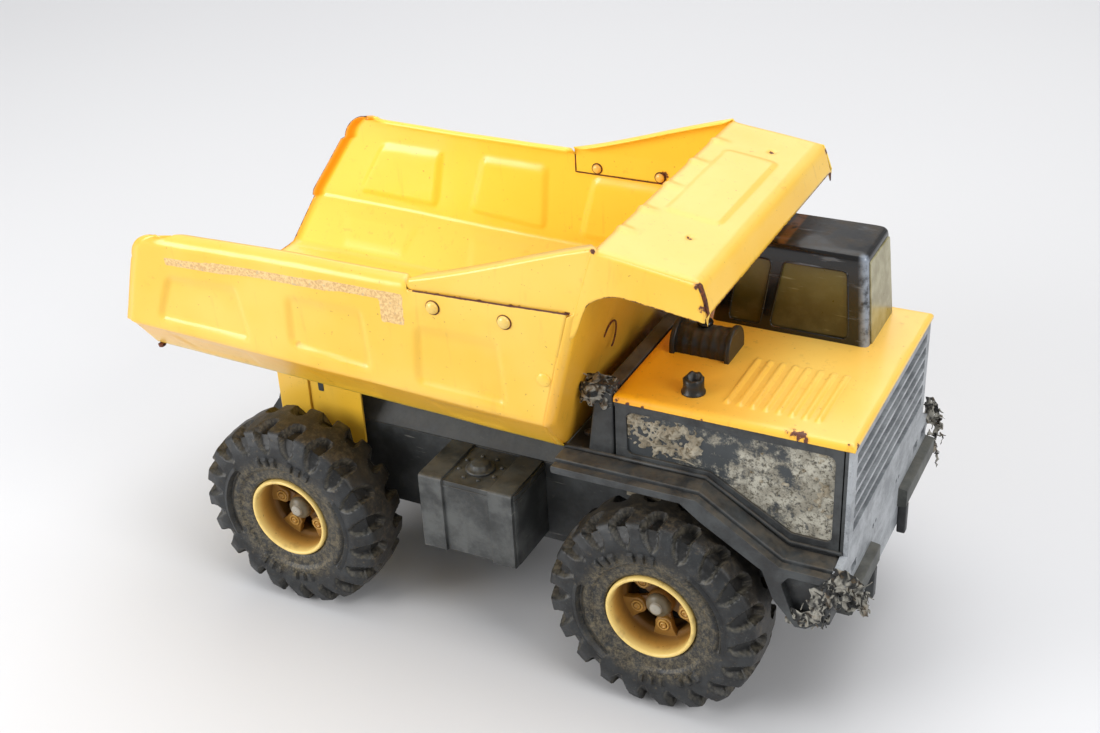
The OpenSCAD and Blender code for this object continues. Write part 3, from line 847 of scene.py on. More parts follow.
WALL_PANELS = {
    RIGHT: (
        ((-67, 255), (-11, 257.5), (-5, 213), (-85, 216)),
        ((26, 256), (86, 258.5), (89, 211), (24, 217)),
        ((122, 253), (182, 258.5), (186, 207), (119, 209)),
    ),
    LEFT: (
        ((-50, 262), (7, 264.5), (-2, 214), (-77, 216.6)),
        ((41, 264.7), (97.6, 264.4), (93, 210), (26, 215)),
        ((134, 261), (190, 260), (190, 208), (120, 209)),
    ),
}
SLANT_PANELS = ((-88, -12), (26, 86), (118, 180))


def floor_z(x):
    """The height of the bed's sloping floor at x."""
    return FLOOR_REAR_Z - (x - FLOOR_REAR) * (FLOOR_REAR_Z - FLOOR_FRONT_Z) / (FLOOR_FRONT - FLOOR_REAR)


def head_x(z):
    """The leaning headboard's place at height z."""
    return FLOOR_FRONT + (z - FLOOR_FRONT_Z) * HEAD_LEAN


def rear_x(z, side):
    """The rear edge of a wall at height z, with its rounded top corner."""
    (z0, x0), (z1, x1), (z2, x2) = REAR_EDGE[side]
    straight = lerp(x0, x1, clamp((z - z0) / (z1 - z0))) + max(z - z1, 0) * (x2 - x1) / (z2 - z1)
    lean = (x2 - x1) / (z2 - z1)
    top = FOLD_Z + LIP_R
    corner = lerp(x1, x2, (top - z1) / (z2 - z1)) + CORNER_R * math.tan((math.pi / 2 - math.atan(lean)) / 2)
    rise = z - (top - CORNER_R)
    if rise <= 0:
        return straight
    return max(straight, corner - math.sqrt(max(CORNER_R**2 - rise**2, 0)))


def wall_point(side, u, z_share):
    """A point of a wall: u runs from the rear edge to the front, z_share from the bend to the
    fold at 1 and on round the rolled lip to 2. Returns the point and its marks."""
    bend_z = floor_z(60) + SLANT_H
    if z_share <= 1:
        z = lerp(bend_z, FOLD_Z, z_share)
        inward = 0.0
    else:
        turn = (z_share - 1) * math.pi / 2
        z = FOLD_Z + LIP_R * math.sin(turn)
        inward = LIP_R * (1 - math.cos(turn))
    start = rear_x(z, side)
    end = head_x(z) - HEAD_R
    x = lerp(start, end, u)
    roll = smooth(start, start + 22, x)
    roll *= 1 - smooth(RAIL_START - 1.5, RAIL_START + 1.5, x)
    if z > bend_z + 40:
        cut_top = lerp(FOLD_Z + LIP_R, lerp(275, 279.6, (x - 119) / 114), smooth(117.5, 120.5, x))
        share = (z - bend_z - 40) / (FOLD_Z + LIP_R - bend_z - 40)
        z = lerp(bend_z + 40, cut_top, share)
    if z_share <= 1:
        z += (floor_z(x) + SLANT_H - bend_z) * (1 - z_share)
    press = 0.0
    for panel in WALL_PANELS[side]:
        top = panel[0][1] + 1.5
        press = max(press, smooth(0, 4.0, inside_depth(x, z, panel)) * smooth(-1, 11, top - z))
    from_rear = x - start
    hem = 1 - smooth(1, 8.5 if side == LEFT else 6.5, from_rear)
    flare = 6.0 * clamp((z - bend_z) / 70) * (1 - smooth(-120, 60, x))
    dent = 0.7 * rough(x, 0, z, 60, seed=3 + side) + 0.25 * rough(x, 0, z, 18, seed=7 + side)
    y = WALL_HALF - 2.4 * press - (5.2 if side == LEFT else 2.0) * hem + flare + dent
    y -= inward * roll
    to_front = end - x
    edge = clamp(1 - from_rear / 2.2) * (0.95 if side == LEFT else 0.6 + 0.35 * smooth(215, 185, z))
    seam = smooth(RAIL_START, RAIL_START + 6, x) * clamp((z_share - 1.55) * 2.6)
    wear = max(edge, seam, 0.2 * clamp(1 - abs(to_front) / 2.0))
    middle = lerp(264.4, 268.6, (x + 65) / 165)
    strip = smooth(4.6, 3.2, abs(z - middle)) * smooth(-68, -64, x) * (1 - smooth(112, 116, x))
    patch = (
        smooth(248.5, 250, z) * (1 - smooth(271, 272, z))
        * smooth(98, 100, x) * (1 - smooth(116, 117.5, x))
    )
    residue = max(0.97 * strip, patch) if side == RIGHT else 0.0
    # Painted shade: the far wall's rear hem and the lower part of each wall go deep orange. The last mark
    # brightens the far wall as painted light.
    painted_shade = max((1.0 if side == LEFT else 0.15) * smooth(0, 0.5, hem), 0.2 * clamp((215 - z) / 30))
    return (x, side * y, z), (wear, painted_shade, residue, 1.0 if side == LEFT else 0.0)


def wall_y(side, x, z):
    """How far out the wall's surface is at (x, z), below its fold."""
    start = rear_x(z, side)
    bend_z = floor_z(60) + SLANT_H
    along = (x - start) / (head_x(z) - HEAD_R - start)
    point, _ = wall_point(side, along, (z - bend_z) / (FOLD_Z - bend_z))
    return abs(point[1])


def slant_point(side, u, share):
    """A point of a slanted side or of half the floor: share 0 to 1 is the slant, down from the
    bend, and 1 to 2 is the floor, from the slant to the centre plane."""
    down = clamp(share)
    height = SLANT_H * (1 - down)
    start = rear_x(FLOOR_REAR_Z + height, side)
    x = lerp(start, head_x(FLOOR_FRONT_Z + height) - HEAD_R * (1 - down), u)
    z = floor_z(x) + height
    y = lerp(WALL_HALF, FLOOR_HALF, down) * (1 if share <= 1 else 2 - share)
    press = 0.0
    if share <= 1:
        for x0, x1 in SLANT_PANELS:
            depth = min(x - x0 - 10 * down, x1 - 10 * down - x, (down - 0.18) * 44, (0.9 - down) * 44)
            press = max(press, smooth(0, 6, depth))
    hem = 1 - smooth(0, 6, x - start)
    y -= (0.8 * press + 2.6 * hem) * 0.7 * (1 if share <= 1 else 0)
    z += (0.8 * press + 1.8 * hem) * 0.7 * (1 if share <= 1 else 0.6)
    z += 0.5 * rough(x, y, 0, 45, seed=5)
    wear = clamp(1 - (x - start) / 2.6) * 0.9
    # Painted shade: the rear hems and the near slanted side go deep orange. The inner value brightens the
    # inside of the bed as painted light.
    painted_shade = max(0.9 * hem, 0.4 if side == RIGHT and share < 1 else 0.12)
    inner = clamp(share) if side == RIGHT else 1.0
    return (x, side * y, z), (wear, painted_shade, 0.0, inner)


def build_tub():
    """Both walls, both slanted sides and the floor, pressed from one sheet."""
    columns = spread(0, 1, 170)
    wall_shares = spread(0, 1, 30) + spread(1, 2, 9)[1:]
    rows = []
    for side in (RIGHT, LEFT):
        half = [[wall_point(side, u, 2.0) for u in columns]]
        returned = []
        for (x, y, z), marks in half[0]:
            roll = smooth(-100, -60, x) * (1 - smooth(RAIL_START - 2, RAIL_START + 1, x))
            returned.append(((x, y - side * 1.2 * roll, z - 2.4 * roll), marks))
        half.insert(0, returned)
        half += [[wall_point(side, u, s) for u in columns] for s in reversed(wall_shares[:-1])]
        half += [[slant_point(side, u, s) for u in columns] for s in spread(0, 1, 14)[1:]]
        half += [[slant_point(side, u, 1 + s) for u in columns] for s in spread(0, 1, 12)[1:]]
        rows += half if side == RIGHT else list(reversed(half))[1:]
    points = [[p for p, _ in row] for row in rows]
    marks = {
        name: [m[i] for row in rows for _, m in row]
        for i, name in enumerate(("wear", "painted_shade", "residue", "inner"))
    }
    sheet_metal("bed_tub_sheet", points, 1.2, BED_YELLOW, BED, ["bed_tub"], marks)


def head_half(z):
    """Half width of the headboard at height z, to the outside of the walls."""
    bend_z = FLOOR_FRONT_Z + SLANT_H
    if z < bend_z:
        return lerp(FLOOR_HALF, WALL_HALF, (z - FLOOR_FRONT_Z) / SLANT_H)
    if z < 279:
        return WALL_HALF
    return WALL_HALF - 1.4 - CANOPY_LEAN * (z - 279) / (CANOPY_TOP - 279)


def build_headboard():
    """The sloped front wall, whose side edges round back to meet the walls."""
    rows = []
    wear = []
    painted_shade = []
    for z in spread(FLOOR_FRONT_Z, CANOPY_TOP - 1.5, 60):
        half = head_half(z)
        turn_r = HEAD_R if z < 279 else 2.0
        edge = [(half - back, down) for back, down in quarter(turn_r, 7)]
        line = section(edge[1:], spread(-(half - turn_r), half - turn_r, 40))
        row = []
        for y, back in line:
            dent = 0.5 * rough(0, y, z, 50, seed=11)
            row.append((head_x(z) - back + dent * (1 if back == 0 else 0), y, z))
            wear.append(0.35 if back > HEAD_R - 1.5 and z > 240 else 0.0)
            # Painted shade: deeper orange towards the bottom of the headboard.
            painted_shade.append(clamp(0.1 + 0.4 * smooth(300, 200, z)))
        rows.append(row)
    # The headboard is brightened a little as painted light.
    marks = {"wear": wear, "painted_shade": painted_shade, "inner": [0.3] * len(wear)}
    sheet_metal("bed_headboard", rows, 1.2, BED_YELLOW, BED, ["headboard"], marks)


BEND = (306.8, 310.2)
LIP_END = (312.4, 291.5)
ROOF_HALF = WALL_HALF - 1.2 - CANOPY_LEAN


def roof_line():
    """(x, z) points of the canopy's top from its rolled rear edge to its front lip."""
    points = [(CANOPY_REAR + 0.4, CANOPY_TOP - 5), (CANOPY_REAR - 0.6, CANOPY_TOP - 2.6)]
    points += [(CANOPY_REAR - 0.2, CANOPY_TOP - 0.6), (CANOPY_REAR + 1.4, CANOPY_TOP)]
    for t in spread(0.05, 0.93, 34):
        points.append((lerp(CANOPY_REAR, BEND[0], t), lerp(CANOPY_TOP, BEND[1], t)))
    points += [(BEND[0] - 1.6, BEND[1] - 0.4), (BEND[0] - 0.2, BEND[1] - 1.3), (BEND[0] + 0.6, BEND[1] - 3)]
    for t in spread(0.25, 1.0, 8):
        points.append((lerp(BEND[0], LIP_END[0], t), lerp(BEND[1], LIP_END[1], t)))
    return points


RAISED_PANEL = ((256, -42), (256, 62), (293, 62), (293, -42))
RIPPLES = (-78, -47, -8, 33, 71)        # y places along the roof's rear edge
ROOF_SLOTS = ((283, -65), (283, 76))


def build_roof():
    """The canopy's top: a plain raised panel, a rippled rear edge and round side edges."""
    turn_r = 4.0
    edge = [(ROOF_HALF - back, down) for back, down in quarter(turn_r, 6)]
    edge.append((ROOF_HALF + 0.4, 7.0))
    line = section(edge[1:], spread(-(ROOF_HALF - turn_r), ROOF_HALF - turn_r, 120))
    rows = []
    wear = []
    painted_shade = []
    for x, z in roof_line():
        row = []
        on_top = smooth(CANOPY_REAR, CANOPY_REAR + 4, x) * smooth(BEND[0] + 1, BEND[0] - 3, x)
        for y, down in line:
            ripple = 0.0
            for centre in RIPPLES:
                ripple += 1.5 * smooth(6.5, 0, abs(y - centre)) * smooth(16, 1, x - CANOPY_REAR)
            lift = 1.1 * smooth(0, 2.6, inside_depth(x, y, RAISED_PANEL, 5)) * on_top
            lift += 0.6 * rough(x, y, 0, 42, seed=21) * on_top
            slot = 0.0
            for sx, sy in ROOF_SLOTS:
                slot = max(slot, smooth(1.8, 0.4, math.hypot((x - sx) * 0.9, (y - sy) * 0.45)))
            row.append((x, y, z - down + lift + ripple - 1.6 * slot))
            to_side = ROOF_HALF - abs(y)
            near_edge = max(clamp(1 - to_side / 3.0) * 0.35, 0.95 * clamp(1 - abs(z - LIP_END[1]) / 2.2))
            near_edge = max(near_edge, 0.8 * smooth(318, 315.5, z) * (1 if x < 246 else 0))
            wear.append(max(near_edge, 1.3 * slot))
            # Painted shade: the rolled rear edge goes deep orange.
            painted_shade.append(0.0 if x > 246 else 0.45)
        rows.append(row)
    marks = {"wear": wear, "painted_shade": painted_shade}
    sheet_metal("canopy_roof", rows, 1.2, BED_YELLOW, BED, ["bed_canopy"], marks)


def arch_z(x):
    """Lower edge of a canopy side: inside the wall at the rear, then a round arch."""
    inner = math.sqrt(max(33.5**2 - (x - 262) ** 2, 0)) if x < 262 else 33.5
    arch = 261 + inner - 0.12 * max(x - 262, 0)
    return lerp(262, arch, smooth(228, 241, x))


def side_top(x):
    """Upper edge of a canopy side: the rising rail, then the top and the front lip."""
    if x < CANOPY_REAR:
        return lerp(279.5, CANOPY_TOP - 1, smooth(118, 260, x) * 0.25 + 0.78 * clamp((x - 120) / 125))
    if x < BEND[0]:
        return lerp(CANOPY_TOP, BEND[1], (x - CANOPY_REAR) / (BEND[0] - CANOPY_REAR)) - 3
    return lerp(BEND[1], LIP_END[1], (x - BEND[0]) / (LIP_END[0] - BEND[0])) - 3


def build_canopy_side(side):
    """A rail inside the wall that rises to the canopy, with a narrow flange along its top."""
    columns = spread(RAIL_START + 1, LIP_END[0] - 0.6, 110)
    flange = 6.5
    rows = []
    wear = []
    painted_shade = []
    levels = [("side", t) for t in spread(0, 1, 16)] + [("turn", t) for t in spread(0, 1, 5)[1:]]
    for kind, t in levels + [("flange", 1.0)]:
        row = []
        for x in columns:
            top = side_top(x)
            low = min(arch_z(x), top - 1)
            begun = smooth(RAIL_START, RAIL_START + 12, x)
            reach = flange * begun * smooth(CANOPY_REAR + 1, CANOPY_REAR - 6, x)
            z = lerp(low, top, t) if kind == "side" else top
            lean = CANOPY_LEAN * clamp((z - 280) / (CANOPY_TOP - 280))
            y = WALL_HALF - 1.5 - lean
            if kind == "turn":
                y -= 1.6 * (1 - math.cos(t * math.pi / 2))
                z = top + 1.6 * math.sin(t * math.pi / 2)
            if kind == "flange":
                y -= 1.6 + reach
                z = top + 1.4
            y += 0.35 * rough(x, 0, z, 30, seed=31 + side) - 0.2
            row.append((x, side * y, z))
            arch_edge = clamp(1 - (z - low) / 2.4) if x > 238 else 0.0
            on_seam = clamp(1 - abs(z - lerp(275, 279.6, (x - 119) / 114)) / 2.2)
            seam = 0.95 * on_seam if x < 236 and side == RIGHT else 0.0
            wear.append(max(0.85 * arch_edge, seam, 0.6 if kind == "flange" else 0.0))
            # A faint, even painted shade over the whole rail.
            painted_shade.append(0.05)
        rows.append(row)
    edge = [(RAIL_START + 1.4, z) for z in (276, 270, 264, 262.3)]
    edge += [(x, 262.3) for x in spread(124, 226, 20)]
    path = [(x, side * (WALL_HALF - 2.3 + 0.25 * rough(x, 0, z, 9, seed=35)), z) for x, z in edge]
    tube(f"rail_edge_{SIDE_NAME[side]}", path, 0.55, RUSTY, BED, segments=6)
    # The far rail's inside is brightened as painted light.
    marks = {"wear": wear, "painted_shade": painted_shade, "inner": [1.0 if side == LEFT else 0.0] * len(wear)}
    sheet_metal(f"canopy_side_{SIDE_NAME[side]}", rows, 1.2, BED_YELLOW, BED, marks=marks)


def build_rivets():
    """Domed rivets through the walls, with their small inner heads."""
    for side, label in SIDE_NAME.items():
        for i, (x, z) in enumerate(((137.8, 267), (187.2, 267))):
            nodes = ["bed_rivets"] if (side, i) == (RIGHT, 0) else ()
            name = f"rivet_{label}_{i}"
            out = wall_y(side, x, z) + 0.5
            dome(name, (x, side * (out + 0.4), z), (0, side, 0), 4.2, 2.9, RIVET, BED, nodes)
            dome(name + "_ring", (x, side * out, z - 0.2), (0, side, 0), 4.9, 0.8, RUSTY, BED)
            dome(name + "_inner", (x, side * (out - 2.9), z), (0, -side, 0), 3.4, 2.4, RIVET, BED)
            dome(name + "_inner_ring", (x, side * (out - 2.6), z), (0, -side, 0), 4.2, 0.7, RUSTY, BED)
        out = wall_y(side, 211, 232.3) + 0.3
        dome(f"rivet_{label}_low", (211, side * out, 232.3), (0, side, 0), 4.8, 2.2, BED_YELLOW, BED)


def build_brackets():
    """The yellow steel ears under the bed, each with a vertical seam and a slot drawn as a dark patch of
    painted shade.
    """
    ear = rounded([(-35.5, 174.5), (35.5, 172.5), (35.5, 112), (24, 100.5), (-24, 100.5), (-35.5, 112)], 2)
    plate = rounded([(-34, 112), (-8, 103), (-7.6, 174), (-34, 174.5)], 2)
    slot = rounded(rect(0, 148, 4.4, 157), 1)
    for side, name in SIDE_NAME.items():
        place = on_side(side)
        slab(f"bracket_ear_{name}", [ear], 61.6, 63.6, place, 0.7, BED_YELLOW, BED, [f"bed_bracket_{name}"])
        slab(f"bracket_plate_{name}", [plate], 63.6, 65.2, place, 0.6, BED_YELLOW, BED)
        # The slot is a dark patch on the ear: painted shade.
        slab(f"bracket_slot_{name}", [slot], 63.4, 64.0, place, 0.2, SHADE_BLACK, BED)


def build_bed_damage():
    """The rusty split at the canopy's near front corner, a torn hook and a bent corner tab."""
    split = [(306.4, 311), (308.6, 309.6), (311.4, 301), (313.0, 292.4), (311.6, 290.2), (310.2, 293),
             (308.6, 301.4)]
    slab("canopy_split", [rounded(split, 1)], 110.6, 113.2, on_side(RIGHT), 0.5, RUSTY, BED)
    hook = []
    for t in spread(-0.2, 5.2, 30):
        height = 236 + 8.5 * math.sin(t) - 0.9 * t
        hook.append((head_x(height) + 0.8 + 0.6 * t, -55 - 5.0 * math.cos(t) + 1.2 * t, height))
    tube("headboard_hook", hook, 0.6, RUSTY, BED)
    tab = [(-118, 175), (-113, 175), (-113.6, 172.6), (-117, 172)]
    slab("rear_corner_tab", [rounded(tab, 0.6)], 86, 90, on_side(RIGHT), 0.5, RUSTY, BED)


build_tub()
build_bed_damage()
build_headboard()
build_roof()
build_canopy_side(RIGHT)
build_canopy_side(LEFT)
build_rivets()
build_brackets()

# ---- the hood ----

HOOD_REAR = 242.3
HOOD_FRONT = 393.2
HOOD_HALF = 88.6
HOOD_Z = 212
LOUVRES = [309 + 57 * i / 7 for i in range(8)]


def louvre_lift(x, y):
    """Height of the eight raised louvres above the hood."""
    lift = 0.0
    for centre in LOUVRES:
        off = abs(x - centre)
        if off < 3.2 and -73 < y < -13:
            end = smooth(-73, -70, y) * smooth(-13, -16, y)
            lift = max(lift, 1.7 * smooth(2.3, 0.5, off) * end)
    return lift


def build_hood():
    """The steel hood with its rounded folded edges and louvres."""
    turn_r = 3.8
    turn = quarter(turn_r, 6)
    inner_x = spread(HOOD_REAR + 1, 304, 12) + spread(305, 370, 100)
    inner_x += spread(371, HOOD_FRONT - 0.7 * turn_r, 8)
    lengthwise = [(HOOD_REAR, 2.0), (HOOD_REAR + 0.3, 0.6)] + [(x, 0.0) for x in inner_x]
    lengthwise += [(HOOD_FRONT - 0.7 * back, 0.7 * down) for back, down in turn[1:]] + [(HOOD_FRONT, 3.6)]
    flat = HOOD_HALF - turn_r
    inner_y = spread(-flat, -76, 6) + spread(-75, -11, 50) + spread(-10, flat, 20)
    edge = [(HOOD_HALF - back, down) for back, down in turn[1:]] + [(HOOD_HALF, 4.3)]
    crosswise = section(edge, inner_y)
    rows = []
    wear = []
    painted_shade = []
    for x, drop_x in lengthwise:
        row = []
        for y, drop_y in crosswise:
            drop = max(drop_x, drop_y)
            lift = louvre_lift(x, y) + 0.35 * rough(x, y, 0, 40, seed=41) * (1 if drop == 0 else 0)
            row.append((x, y, HOOD_Z - drop + lift))
            edge_wear = 0.8 if drop > 4.2 or drop_x > 3.4 else 0.25 * smooth(0, 3, drop)
            wear.append(max(edge_wear, 0.7 * clamp(1 - (x - HOOD_REAR) / 2.5)))
            # Painted shade: the rear of the hood, shaded by the canopy, goes deep orange, fading out
            # towards the front.
            painted_shade.append(clamp(1.0 - (x - HOOD_REAR) / 95))
        rows.append(row)
    marks = {"wear": wear, "painted_shade": painted_shade}
    sheet_metal("hood_pressing", rows, 1.0, HOOD_YELLOW, "chassis", ["hood_panel"], marks)


def build_air_cleaner():
    """Half-round drum with end flanges, shallow ribs and a knob on a stalk."""
    y = -13.25
    z = HOOD_Z + 5
    stations = [(253.5, 14.0), (254.0, 14.4), (256.2, 14.4), (256.7, 14.0), (256.9, 11.9)]
    for i in range(5):
        rib = 260 + i * 6.4
        stations += [(rib, 11.85), (rib + 0.4, 12.1), (rib + 2.6, 12.1), (rib + 3.0, 11.85)]
    stations += [(290.3, 11.9), (290.5, 14.0), (291.0, 14.4), (293.2, 14.4), (293.7, 14.0)]
    arc = spread(0, math.pi, 19)
    rows = []
    for x, r in stations:
        ring = [(x, y + r * math.cos(t), z + r * math.sin(t)) for t in arc]
        rows.append([(x, y + r, HOOD_Z - 1)] + ring + [(x, y - r, HOOD_Z - 1)])
    drum = skin("air_cleaner_drum", rows, TRIM_BLACK, nodes=["air_cleaner"])
    drum.data.set_sharp_from_angle(angle=math.radians(40))
    knob = [
        (3.2, 14), (3.2, 17.5), (5.0, 18.2), (5.3, 19.4),
        (4.9, 20.6), (2.6, 21.2), (2.2, 20.7), (0.6, 20.7),
    ]
    upright("air_cleaner_cap", knob, (272.5, y, HOOD_Z), 24, CAB_GLOSS, ["air_cleaner_knob"])


def build_exhaust_stub():
    """What is left of the stack: a short tube with a torn top and a small base ring."""
    profile = [
        (7.6, 0.0), (7.6, 1.4), (6.7, 2.2), (6.4, 6.0),
        (6.5, 10.2), (5.4, 11.2), (4.3, 10.4), (4.0, 4.5),
    ]
    rings = []
    for i, (r, h) in enumerate(profile):
        ring = []
        for t in turns(36):
            c, s = math.cos(t), math.sin(t)
            torn = 0.0 if i < 4 or i > 6 else 2.2 * rough(8 * c, 8 * s, i, 5, seed=51)
            wobble = r + (0.5 * rough(9 * c, 9 * s, h, 5, seed=52) if i > 2 else 0)
            ring.append((286 + wobble * c, -67 + wobble * s, HOOD_Z + h + torn))
        rings.append(ring)
    skin("exhaust_stub_torn", rings, TRIM_BLACK, nodes=["exhaust_stub"])


build_hood()
build_air_cleaner()
build_exhaust_stub()

# ---- the cab ----

CAB_BASE_Y = (24.4, 82.8)
CAB_ROOF_Y = (28.0, 79.0)
CAB_BASE_X = (262.0, 367.6)
CAB_ROOF_X = (272.0, 362.5)
CAB_TOP = 273.8


def cab_ring(t, inset, radius):
    """A rounded rectangle round the cab at height share t, pulled in by inset."""
    x0 = lerp(CAB_BASE_X[0], CAB_ROOF_X[0], t) + inset
    x1 = lerp(CAB_BASE_X[1], CAB_ROOF_X[1], t) - inset
    y0 = lerp(CAB_BASE_Y[0], CAB_ROOF_Y[0], t) + inset
    y1 = lerp(CAB_BASE_Y[1], CAB_ROOF_Y[1], t) - inset
    return rounded(rect(x0, y0, x1, y1), radius, steps=6)


DOOR_WINDOW = [(301.5, 215.5), (354.5, 215.5), (351, 262), (309.5, 262)]
QUARTER_WINDOW = [(273.4, 215.5), (295.5, 215.5), (302, 262), (280, 262)]
WINDSHIELD = [(30.5, 212), (79.2, 212), (76.5, 268.2), (32.5, 268.2)]


def build_cab():
    """The cab's shell, with recessed rounded window openings cut through it."""
    levels = [(0.0, 0.0, 4.5), (0.02, 0.0, 4.5)] + [(t, 0.0, 4.5) for t in spread(0.1, 0.93, 9)]
    levels += [(0.96, 0.25, 4.6), (0.985, 1.1, 5.0), (1.0, 2.6, 6.0)]
    outer = [[(x, y, lerp(HOOD_Z, CAB_TOP, t)) for x, y in cab_ring(t, inset, r)] for t, inset, r in levels]
    inner = [[(x, y, lerp(HOOD_Z, CAB_TOP - 2.2, t)) for x, y in cab_ring(t, 2.4 + inset, 3.5)]
             for t, inset in ((1.0, 1.0), (0.9, 0.0), (0.5, 0.0), (0.0, 0.0))]
    columns = len(outer[0])
    points = [p for ring in outer for p in ring]
    faces = grid_faces(len(outer), columns, around=True)
    faces.append(tuple(range(len(points) - columns, len(points))))
    first = len(points)
    points += [p for ring in inner for p in ring]
    faces += [tuple(i + first for i in face) for face in grid_faces(len(inner), columns, around=True)]
    faces.append(tuple(range(first, first + columns)))
    last = len(points) - columns
    for c in range(columns):
        d = (c + 1) % columns
        faces.append((c, d, last + d, last + c))
    cab = new_piece("cab_shell", points, faces, CAB_GLOSS, nodes=["cab_body"], closed=True)
    for label, outline in (("door", DOOR_WINDOW), ("quarter", QUARTER_WINDOW)):
        cutter = slab("cutter_" + label, [rounded(outline, 4)], 10, 95, on_side(LEFT), 0.1, CAB_GLOSS)
        cutter.modifiers.clear()
        cut = cab.modifiers.new("cut_" + label, "BOOLEAN")
        cut.object = cutter
        cut.operation = "DIFFERENCE"
        cut.solver = "EXACT"
        apply_modifiers(cab)
        bpy.data.objects.remove(cutter)
    bevel(cab, 0.7, angle=50)


def apply_modifiers(piece):
    """Makes a piece's modifiers part of its mesh."""
    graph = bpy.context.evaluated_depsgraph_get()
    bpy.context.view_layer.update()
    mesh = bpy.data.meshes.new_from_object(piece.evaluated_get(graph))
    piece.modifiers.clear()
    piece.data = mesh


def cab_side_y(z, side):
    """y of the cab's near (RIGHT) or far wall at height z."""
    t = (z - HOOD_Z) / (CAB_TOP - HOOD_Z)
    i = 0 if side == RIGHT else 1
    return lerp(CAB_BASE_Y[i], CAB_ROOF_Y[i], t)


def cab_front_x(z):
    """x of the cab's front at height z."""
    return lerp(CAB_BASE_X[1], CAB_ROOF_X[1], (z - HOOD_Z) / (CAB_TOP - HOOD_Z))


def build_windows():
    """Recessed side panes with a thin bead round each, and the big pane of the windshield."""
    for side in (RIGHT, LEFT):
        for label, corners in (("door", DOOR_WINDOW), ("quarter", QUARTER_WINDOW)):
            name = f"{label}_{SIDE_NAME[side]}"
            nodes = ["cab_windows"] if name == "door_right" else ()
            slab(f"pane_{name}", [rounded(corners, 3)], 1.3, 2.3,
                 lambda a, b, c, s=side: (a, cab_side_y(b, s) - s * c, b), 0.1, WINDOW, nodes=nodes)
            bead = [(x, cab_side_y(z, side) - side * 0.2, z) for x, z in rounded(corners, 4.2)]
            tube(f"bead_{name}", bead + bead[:2], 0.7, CAB_GLOSS)
    slab("pane_windshield", [rounded(WINDSHIELD, 3)], -0.5, 0.9,
         lambda a, b, c: (cab_front_x(b) + c, a, b), 0.5, WINDOW)


build_cab()
build_windows()

# ---- the chassis ----

for plain in (
    "frame_rail_right", "frame_rail_left", "frame_deck", "rear_crossmember", "centre_crossmember",
    "front_crossmember", "front_platform", "firewall",
):
    moulding(plain, 0.8, BLACK)
for part, width in (
    ("stanchion_right", 1.8), ("stanchion_left", 1.8), ("rear_cowl", 1.2), ("tow_hooks", 1.0),
):
    moulding(part, width, DUSTY_BLACK)
for metal in ("hinge_rod", "hinge_push_nuts", "front_axle", "rear_axle", "frame_screws"):
    moulding(metal, 0.25, STEEL)

FACE_X = 392.6
PANEL_OUT = 87.1
FENDER_HALF = 107.5


SIDE_OUTLINE = [(242.3, 165), (301, 165), (355, 133), (388, 133), (388, 208.8), (242.3, 208.8)]
RECESS = [(250, 171), (305, 171), (357.5, 140.5), (382, 140.5), (382, 201), (250, 201)]


def build_side_panel(side):
    """A panel with a framed shallow recess."""
    name = SIDE_NAME[side]
    recess = rounded(RECESS, [4, 6, 5, 4, 6, 5])
    slab(f"side_frame_{name}", [SIDE_OUTLINE, recess], 85.2, PANEL_OUT, on_side(side), 0.7, DUSTY_BLACK,
         nodes=[f"side_panel_{name}"])
    slab(f"side_recess_{name}", [rounded(SIDE_OUTLINE, 1)], 83.4, 85.4, on_side(side), 0.4, MUDDY)
    low = [(206, 167.2), (302.5, 167.2), (356.5, 134.6), (389, 134.6)]
    tube(f"side_bead_{name}", [(x, side * (PANEL_OUT + 0.6), z) for x, z in low], 1.3, DUSTY_BLACK)


def build_mud(side):
    """Clods of dried mud: a lumpy crust that sinks into the panel where there is none."""
    columns = spread(248, 384, 220)
    levels = spread(138, 204, 110)
    rows = []
    for z in levels:
        row = []
        for x in columns:
            lumps = 0.5 * rough(x, 0, z, 13, seed=61) + 0.35 * rough(x, 0, z, 5, seed=62)
            lumps += 0.3 * rough(x, 0, z, 2.4, seed=64)
            clods = 0.5 * smooth(306, 292, x) * smooth(173, 180, z) * smooth(204, 198, z)
            clods = max(clods, 0.3 * smooth(360, 372, x) * smooth(150, 160, z))
            cover = smooth(0.0, 0.1, lumps + clods - 0.33) * smooth(-1.5, 1.5, recess_depth(x, z))
            thick = 1.0 + 3.2 * smooth(0.33, 0.95, lumps + clods) + 0.8 * rough(x, 0, z, 2.6, seed=63)
            row.append((x, side * (84.6 + max(thick, 0.3) * cover), z))
        rows.append(row)
    points = [p for row in rows for p in row]
    new_piece(f"mud_clods_{SIDE_NAME[side]}", points, grid_faces(len(rows), len(columns)), MUD)
    straws = (((262, 186), (270, 183), (279, 184.5)), ((281, 176), (289, 176.6), (296, 175)),
              ((268, 193), (273, 188.5), (277, 187)))
    for i, straw in enumerate(straws):
        path = [(x, side * (88.2 + 0.5 * k), z) for k, (x, z) in enumerate(straw)]
        tube(f"straw_{SIDE_NAME[side]}_{i}", path, 0.4, MUD, segments=6)


def recess_depth(x, z):
    """Rough distance inside the side panel's recess; below 0 outside it."""
    slope = (x - 305) * (140.5 - 171) / (357.5 - 305) + 171
    floor = 171 if x < 305 else max(slope, 140.5)
    return min(x - 250, 382 - x, z - floor, 201 - z)


